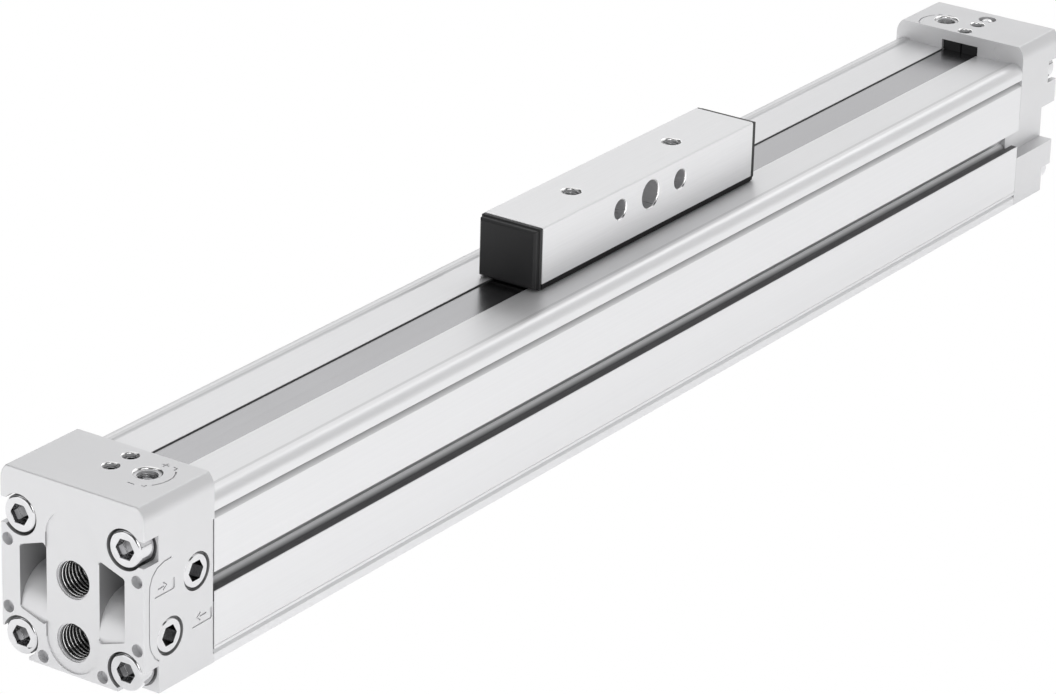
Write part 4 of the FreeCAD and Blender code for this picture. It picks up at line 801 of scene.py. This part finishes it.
class RODLESS_OT_threads(bpy.types.Operator):
    """Model the threads in the air ports and in the holes of the tops"""
    bl_idname = "rodless.threads"
    bl_label = "Threads"

    # In millimetres; a start is how far under the outer surface a thread begins
    PORT_HEIGHTS = (("upper", 26), ("lower", 9))
    PORT_RADIUS = 4.86
    PORT_PITCH = 1.25
    PORT_START = 1.1
    PORT_TURNS = 7

    # Width and height of a port's bright crest and of its dark root, as shares of the pitch; the root
    # is a thin near-black sheet of painted shade over the bore's wall between the crests, and the
    # crest's brightness is partly a painted highlight
    PORT_CREST = (0.5, 0.45)
    PORT_ROOT = (1.02, 0.05)

    CUSHION_RADIUS = 2.8
    CUSHION_PITCH = 0.5
    CUSHION_START = 0.9
    CLAMP_PITCH = 0.7
    CLAMP_START = 0.8
    CAP_TURNS = 2

    CARRIAGE_PITCH = 0.8
    CARRIAGE_START = 0.7
    CARRIAGE_TURNS = 6

    def add_ports(self):
        for name, height in self.PORT_HEIGHTS:
            mouth = (CAP_FRONT + self.PORT_START * MM, 0, height * MM)
            sweep = ((1, 0, 0), self.PORT_RADIUS * MM, self.PORT_PITCH * MM, self.PORT_TURNS)
            crest = thread_ridge("near_port_thread_" + name, mouth, *sweep, *self.PORT_CREST)
            # The crests take the bright lip finish, partly a painted highlight
            finish_piece(crest, MATERIALS["bright_lip"], "turned_aluminium", "cylinder")
            root = thread_ridge("near_port_root_" + name, mouth, *sweep, *self.PORT_ROOT)
            finish_piece(root, MATERIALS["thread_root"], "cast_aluminium", "cylinder")

    def add_downward(self, name, mouth, radius, pitch, turns, body):
        """A thread that runs down from a hole's mouth; its radius and pitch in millimetres."""
        thread = thread_ridge(name, mouth, (0, 0, -1), radius * MM, pitch * MM, turns)
        finish_piece(thread, MATERIALS["turned_aluminium"], "turned_aluminium", body)

    def execute(self, context):
        self.add_ports()
        cap_holes = RODLESS_OT_end_caps.TOP_HOLES
        height = CAP_TOP / MM - self.CUSHION_START
        for end, places in cap_holes.items():
            along, across = places[2][:2]
            self.add_downward(
                end + "_cushion_thread", on_cap(end, along, across, height),
                self.CUSHION_RADIUS, self.CUSHION_PITCH, self.CAP_TURNS, "cylinder",
            )
        height = CAP_TOP / MM - self.CLAMP_START
        for end, places in cap_holes.items():
            for number, (along, across, radius, _) in enumerate(places[:2], 1):
                self.add_downward(
                    "%s_clamp_thread_%d" % (end, number), on_cap(end, along, across, height),
                    radius, self.CLAMP_PITCH, self.CAP_TURNS, "cylinder",
                )
        height = CARRIAGE_HIGH.z - self.CARRIAGE_START * MM
        for name, (along, radius) in zip(("near", "far"), RODLESS_OT_carriage.TOP_HOLES):
            self.add_downward(
                "carriage_thread_" + name, (CARRIAGE_MIDDLE + along * MM, 0, height),
                radius, self.CARRIAGE_PITCH, self.CARRIAGE_TURNS, "carriage",
            )
        return {"FINISHED"}


class RODLESS_OT_fasteners(bpy.types.Operator):
    """Model the screws, plugs and cushion screws with rounded rims and shiny sockets darkened as
    painted shade
    """
    bl_idname = "rodless.fasteners"
    bl_label = "Screws and plugs"

    PIECES = (
        # node without its end, body, share of the full rim rounding
        ("cap_screws", "cylinder", 1.0),
        ("side_plugs", "cylinder", 0.8),
        ("clamp_set_screws", "cylinder", 0.5),
        ("cushion_screw", "cushion_needle", 0.6),
    )

    # In millimetres; what lies deeper in a head than the lip belongs to its socket
    HEAD_RADIUS = 5.0
    SOCKET_RADIUS = 3.1
    SOCKET_LIP = 0.45

    def socket_test(self, node_name, source):
        """A test for the faces inside the hexagon sockets; the far plugs' rings pass it too."""
        low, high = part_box(source)
        lip = self.SOCKET_LIP * MM
        if node_name == "side_plugs":
            return lambda face: face.center.y > low.y + lip
        face = low.x if source.startswith("near") else high.x
        side = high.y - self.HEAD_RADIUS * MM
        foot = low.z + self.HEAD_RADIUS * MM
        top = high.z - self.HEAD_RADIUS * MM

        def in_socket(plane):
            point = plane.center
            rise = min(abs(point.z - foot), abs(point.z - top))
            across = hypot(abs(point.y) - side, rise)
            return abs(point.x - face) > lip and across < self.SOCKET_RADIUS * MM

        return in_socket

    def execute(self, context):
        width = context.scene.cylinder_sizes.screw_rim
        for end in ("near", "far"):
            for node_name, body, share in self.PIECES:
                source = end + "_" + node_name
                piece = copy_of_node(source, source + "_plated")
                soften(piece, width * share, segments=3)
                owner = end + "_" + body if body == "cushion_needle" else body
                # The sockets are split off in a darker steel: painted shade
                if node_name in ("cap_screws", "side_plugs"):
                    socket = split_faces(piece, self.socket_test(node_name, source))
                    socket.name = source + "_sockets"
                    finish_piece(
                        socket, MATERIALS["shaded_socket_steel"], "zinc_plated_steel", owner,
                    )
                # The clamp set screws take the darker socket steel, painted shade, all over
                steel = "shaded_socket_steel" if node_name == "clamp_set_screws" else "zinc_plated_steel"
                finish_piece(piece, MATERIALS[steel], "zinc_plated_steel", owner, source)
        return {"FINISHED"}


class RODLESS_OT_carriage(bpy.types.Operator):
    """Model the carriage's bar and its two black ends"""
    bl_idname = "rodless.carriage"
    bl_label = "Carriage"

    # Holes: from the carriage's middle, and their radius, in millimetres
    TOP_HOLES = ((-25, 2.5), (25, 2.5))
    SIDE_HOLES = ((-15, 2.75), (0, 4), (15, 2.75))
    SIDE_HOLE_HEIGHT = 57.2
    TOP_LIP = 0.45
    SIDE_LIP = 0.4

    def on_hole_wall(self, face):
        """Whether a face belongs to the wall of a hole in the carriage's sides."""
        if abs(face.normal.y) > 0.2:
            return False
        forward = (face.center.x - CARRIAGE_MIDDLE) / MM
        rise = face.center.z / MM - self.SIDE_HOLE_HEIGHT
        return any(
            hypot(forward - along, rise) < radius + 0.05 for along, radius in self.SIDE_HOLES
        )

    def execute(self, context):
        sizes = context.scene.cylinder_sizes
        bar = copy_of_node("carriage_body", "carriage_bar")
        lips = []
        for along, radius in self.TOP_HOLES:
            mouth = (CARRIAGE_MIDDLE + along * MM, 0, CARRIAGE_HIGH.z)
            lips.append(chamfer_ring(bar, mouth, (0, 0, 1), radius * MM, self.TOP_LIP * MM))
        for side in (CARRIAGE_LOW.y, CARRIAGE_HIGH.y):
            for along, radius in self.SIDE_HOLES:
                mouth = (CARRIAGE_MIDDLE + along * MM, side, self.SIDE_HOLE_HEIGHT * MM)
                lips.append(chamfer_ring(bar, mouth, (0, 1, 0), radius * MM, self.SIDE_LIP * MM))
        soften(bar, sizes.carriage_edge)
        # The side holes' walls are split off in a darker finish: painted shade
        walls = split_faces(bar, self.on_hole_wall)
        walls.name = "carriage_shaded_hole_walls"
        finish_piece(walls, MATERIALS["hole_wall"], "carriage_aluminium", "carriage")
        finish_piece(
            join_pieces("carriage_lips", lips), MATERIALS["bright_lip"],
            "carriage_aluminium", "carriage",
        )
        finish_piece(
            bar, MATERIALS["carriage_aluminium"], "carriage_aluminium", "carriage",
            "carriage_body",
        )
        for end in ("near", "far"):
            cover = copy_of_node(end + "_carriage_end_cap", end + "_carriage_end_cover")
            soften(cover, sizes.plastic_edge)
            finish_piece(
                cover, MATERIALS["black_plastic"], "black_plastic", "carriage",
                end + "_carriage_end_cap",
            )
        return {"FINISHED"}


class RODLESS_OT_bands(bpy.types.Operator):
    """Model the cover band and the sealing band, both led through the carriage"""
    bl_idname = "rodless.bands"
    bl_label = "Bands"

    BANDS = (
        # node, slot, rounding of its long edges in millimetres
        ("outer_cover_band", "stainless_band", 0.12),
        ("inner_sealing_band", "sealing_band_plastic", 0.1),
    )

    # No rounding at a band's tip reaches this far along it, in millimetres
    TIP_REACH = 5

    def add_half(self, node_name, end, rounding):
        """The band from one clamp to the middle of the carriage."""
        half = copy_of_node(node_name, "%s_%s_half" % (end, node_name))
        soften(half, rounding * MM, angle=60, segments=3)
        edit(half)
        side = 1 if end == "near" else -1
        bpy.ops.mesh.bisect(
            plane_co=(CARRIAGE_MIDDLE, 0, 0), plane_no=(side, 0, 0), clear_outer=True,
            use_fill=True,
        )
        leave_edit()
        return half

    def stretch(self, half, end):
        """Bakes the half's place into its mesh."""
        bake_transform(half)

    def execute(self, context):
        for node_name, slot, rounding in self.BANDS:
            for end in ("near", "far"):
                half = self.add_half(node_name, end, rounding)
                half.data.materials.clear()
                half.data.materials.append(MATERIALS[slot])
                self.stretch(half, end)
                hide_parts(node_name)
        return {"FINISHED"}


# Camera and light

class RODLESS_OT_stage(bpy.types.Operator):
    """Set the camera and the lights as in the photograph"""
    bl_idname = "rodless.stage"
    bl_label = "Camera and lights"

    AZIMUTH = radians(-55.89)
    ELEVATION = radians(22.78)
    ROLL = radians(1.63)
    DISTANCE = 1.36149
    AIM = Vector((0.005, 0.0, 0.025))
    AIM_OFFSET = (-0.02003, -0.01228)

    def camera_axes(self):
        back = Vector((
            sin(self.AZIMUTH) * cos(self.ELEVATION),
            -cos(self.AZIMUTH) * cos(self.ELEVATION),
            sin(self.ELEVATION),
        ))
        level = Vector((0, 0, 1)).cross(back).normalized()
        upright = back.cross(level)
        right = level * cos(self.ROLL) + upright * sin(self.ROLL)
        up = upright * cos(self.ROLL) - level * sin(self.ROLL)
        return right, up, back

    def add_camera(self, context):
        right, up, back = self.camera_axes()
        place = self.AIM + back * self.DISTANCE
        place += right * self.AIM_OFFSET[0] + up * self.AIM_OFFSET[1]
        data = bpy.data.cameras.new("Photograph camera")
        data.lens = context.scene.cylinder_sizes.lens
        data.sensor_width = 36
        data.clip_start = 0.01
        camera = bpy.data.objects.new("Photograph camera", data)
        turn = Matrix((right, up, back)).transposed().to_4x4()
        camera.matrix_world = Matrix.Translation(place) @ turn
        context.scene.collection.objects.link(camera)
        context.scene.camera = camera

    SOFTBOXES = (
        # name, place, aim, width and height, brightness
        ("Overhead softbox", (0.0, 0.3, 0.95), (0.0, 0.0, 0.0), (1.8, 1.1), 0.95),
        ("Back softbox", (1.3, 0.8, 0.85), (0.0, 0.0, 0.03), (1.8, 1.3), 1.0),
        ("Right softbox", (1.0, -0.65, 0.68), (0.0, 0.0, 0.03), (1.3, 1.4), 0.85),
        ("Shoulder softbox", (1.14, 0.0, 0.98), (0.0, 0.0, 0.03), (0.5, 0.6), 1.5),
        ("Side softbox", (-0.7, -1.1, 0.5), (0.0, 0.0, 0.03), (1.3, 1.0), 1.3),
        ("Front softbox", (-1.3, 0.5, 0.25), (-0.2, 0.0, 0.03), (0.9, 0.5), 1.5),
        ("Camera-side softbox", (-1.3, -1.2, 0.85), (-0.1, 0.0, 0.03), (0.7, 0.7), 1.6),
    )

    # The floor's width in metres, its gap under the cylinder in millimetres, and its glow at
    # this distance in metres from the middle, towards the near end and towards the far end
    FLOOR_SIZE = 6
    FLOOR_GAP = 0.5
    GLOW_REACH = 0.5
    GLOW_NEAR = 0.8
    GLOW_FAR = 0.5

    def add_softboxes(self, context):
        share = context.scene.cylinder_sizes.softbox_share
        for name, place, aim, size, brightness in self.SOFTBOXES:
            data = bpy.data.lights.new(name, "AREA")
            data.shape = "RECTANGLE"
            data.size, data.size_y = size
            data.energy = share * brightness * pi * size[0] * size[1]
            light = bpy.data.objects.new(name, data)
            light.location = place
            direction = Vector(aim) - Vector(place)
            light.rotation_euler = direction.to_track_quat("-Z", "Y").to_euler()
            context.scene.collection.objects.link(light)

    def show_white(self, tree, output, inner, kind):
        """Lights with the inner shader, and shows plain white of this kind to the camera."""
        seen = node(tree, kind, Color=(1, 1, 1, 1), Strength=1.0)
        ray = node(tree, "LightPath")
        mix = node(tree, "MixShader")
        tree.links.new(ray.outputs["Is Camera Ray"], mix.inputs[0])
        tree.links.new(inner.outputs[0], mix.inputs[1])
        tree.links.new(seen.outputs[0], mix.inputs[2])
        tree.links.new(mix.outputs[0], output.inputs["Surface"])

    def add_world(self, context):
        world = bpy.data.worlds.new("White surroundings")
        world.use_nodes = True
        tree = world.node_tree
        light = tree.nodes["Background"]
        light.inputs["Color"].default_value = (1, 1, 1, 1)
        light.inputs["Strength"].default_value = context.scene.cylinder_sizes.ambient
        self.show_white(tree, tree.nodes["World Output"], light, "Background")
        context.scene.world = world

    def add_floor(self, context):
        """A pale floor, plain white to the camera, that glows more towards the near end."""
        deselect_all()
        height = CAD_BOX[0][2] - self.FLOOR_GAP * MM
        bpy.ops.mesh.primitive_plane_add(size=self.FLOOR_SIZE, location=(0, 0, height))
        floor = context.active_object
        floor.name = "pale_floor"
        material = bpy.data.materials.new("Pale floor")
        material.use_nodes = True
        tree = material.node_tree
        shader = tree.nodes["Principled BSDF"]
        shader.inputs["Base Color"].default_value = (0.85, 0.85, 0.85, 1)
        shader.inputs["Roughness"].default_value = 0.9
        shader.inputs["Emission Color"].default_value = (1, 1, 1, 1)
        place = node(tree, "TexCoord")
        split = node(tree, "SeparateXYZ")
        glow = node(tree, "MapRange")
        glow.inputs["From Min"].default_value = -self.GLOW_REACH
        glow.inputs["From Max"].default_value = self.GLOW_REACH
        glow.inputs["To Min"].default_value = self.GLOW_NEAR
        glow.inputs["To Max"].default_value = self.GLOW_FAR
        tree.links.new(place.outputs["Object"], split.inputs[0])
        tree.links.new(split.outputs["X"], glow.inputs["Value"])
        tree.links.new(glow.outputs["Result"], shader.inputs["Emission Strength"])
        self.show_white(tree, tree.nodes["Material Output"], shader, "Emission")
        floor.data.materials.append(material)

    def execute(self, context):
        context.scene.view_settings.view_transform = "Standard"
        self.add_camera(context)
        self.add_world(context)
        self.add_floor(context)
        self.add_softboxes(context)
        return {"FINISHED"}


STEPS = (
    "stage", "materials", "barrel", "end_caps", "threads", "fasteners", "carriage",
    "bands",
)


class RODLESS_PT_panel(bpy.types.Panel):
    """Lists the steps that dress the cylinder"""
    bl_idname = "RODLESS_PT_panel"
    bl_label = "Rodless cylinder"
    bl_space_type = "VIEW_3D"
    bl_region_type = "UI"
    bl_category = "Cylinder"

    def draw(self, context):
        for group in (context.scene.cylinder_sizes, context.scene.cylinder_colours):
            for name in group.bl_rna.properties.keys():
                if name not in ("rna_type", "name"):
                    self.layout.prop(group, name)
        for step in STEPS:
            self.layout.operator("rodless." + step)


CLASSES = (
    CylinderColours,
    CylinderSizes,
    RODLESS_OT_stage,
    RODLESS_OT_materials,
    RODLESS_OT_barrel,
    RODLESS_OT_end_caps,
    RODLESS_OT_threads,
    RODLESS_OT_fasteners,
    RODLESS_OT_carriage,
    RODLESS_OT_bands,
    RODLESS_PT_panel,
)


def register():
    for cls in CLASSES:
        bpy.utils.register_class(cls)
    bpy.types.Scene.cylinder_colours = bpy.props.PointerProperty(type=CylinderColours)
    bpy.types.Scene.cylinder_sizes = bpy.props.PointerProperty(type=CylinderSizes)


def unregister():
    del bpy.types.Scene.cylinder_sizes
    del bpy.types.Scene.cylinder_colours
    for cls in reversed(CLASSES):
        bpy.utils.unregister_class(cls)


def main():
    register()
    for step in STEPS:
        getattr(bpy.ops.rodless, step)()
    deselect_all()


if __name__ == "__main__":
    main()
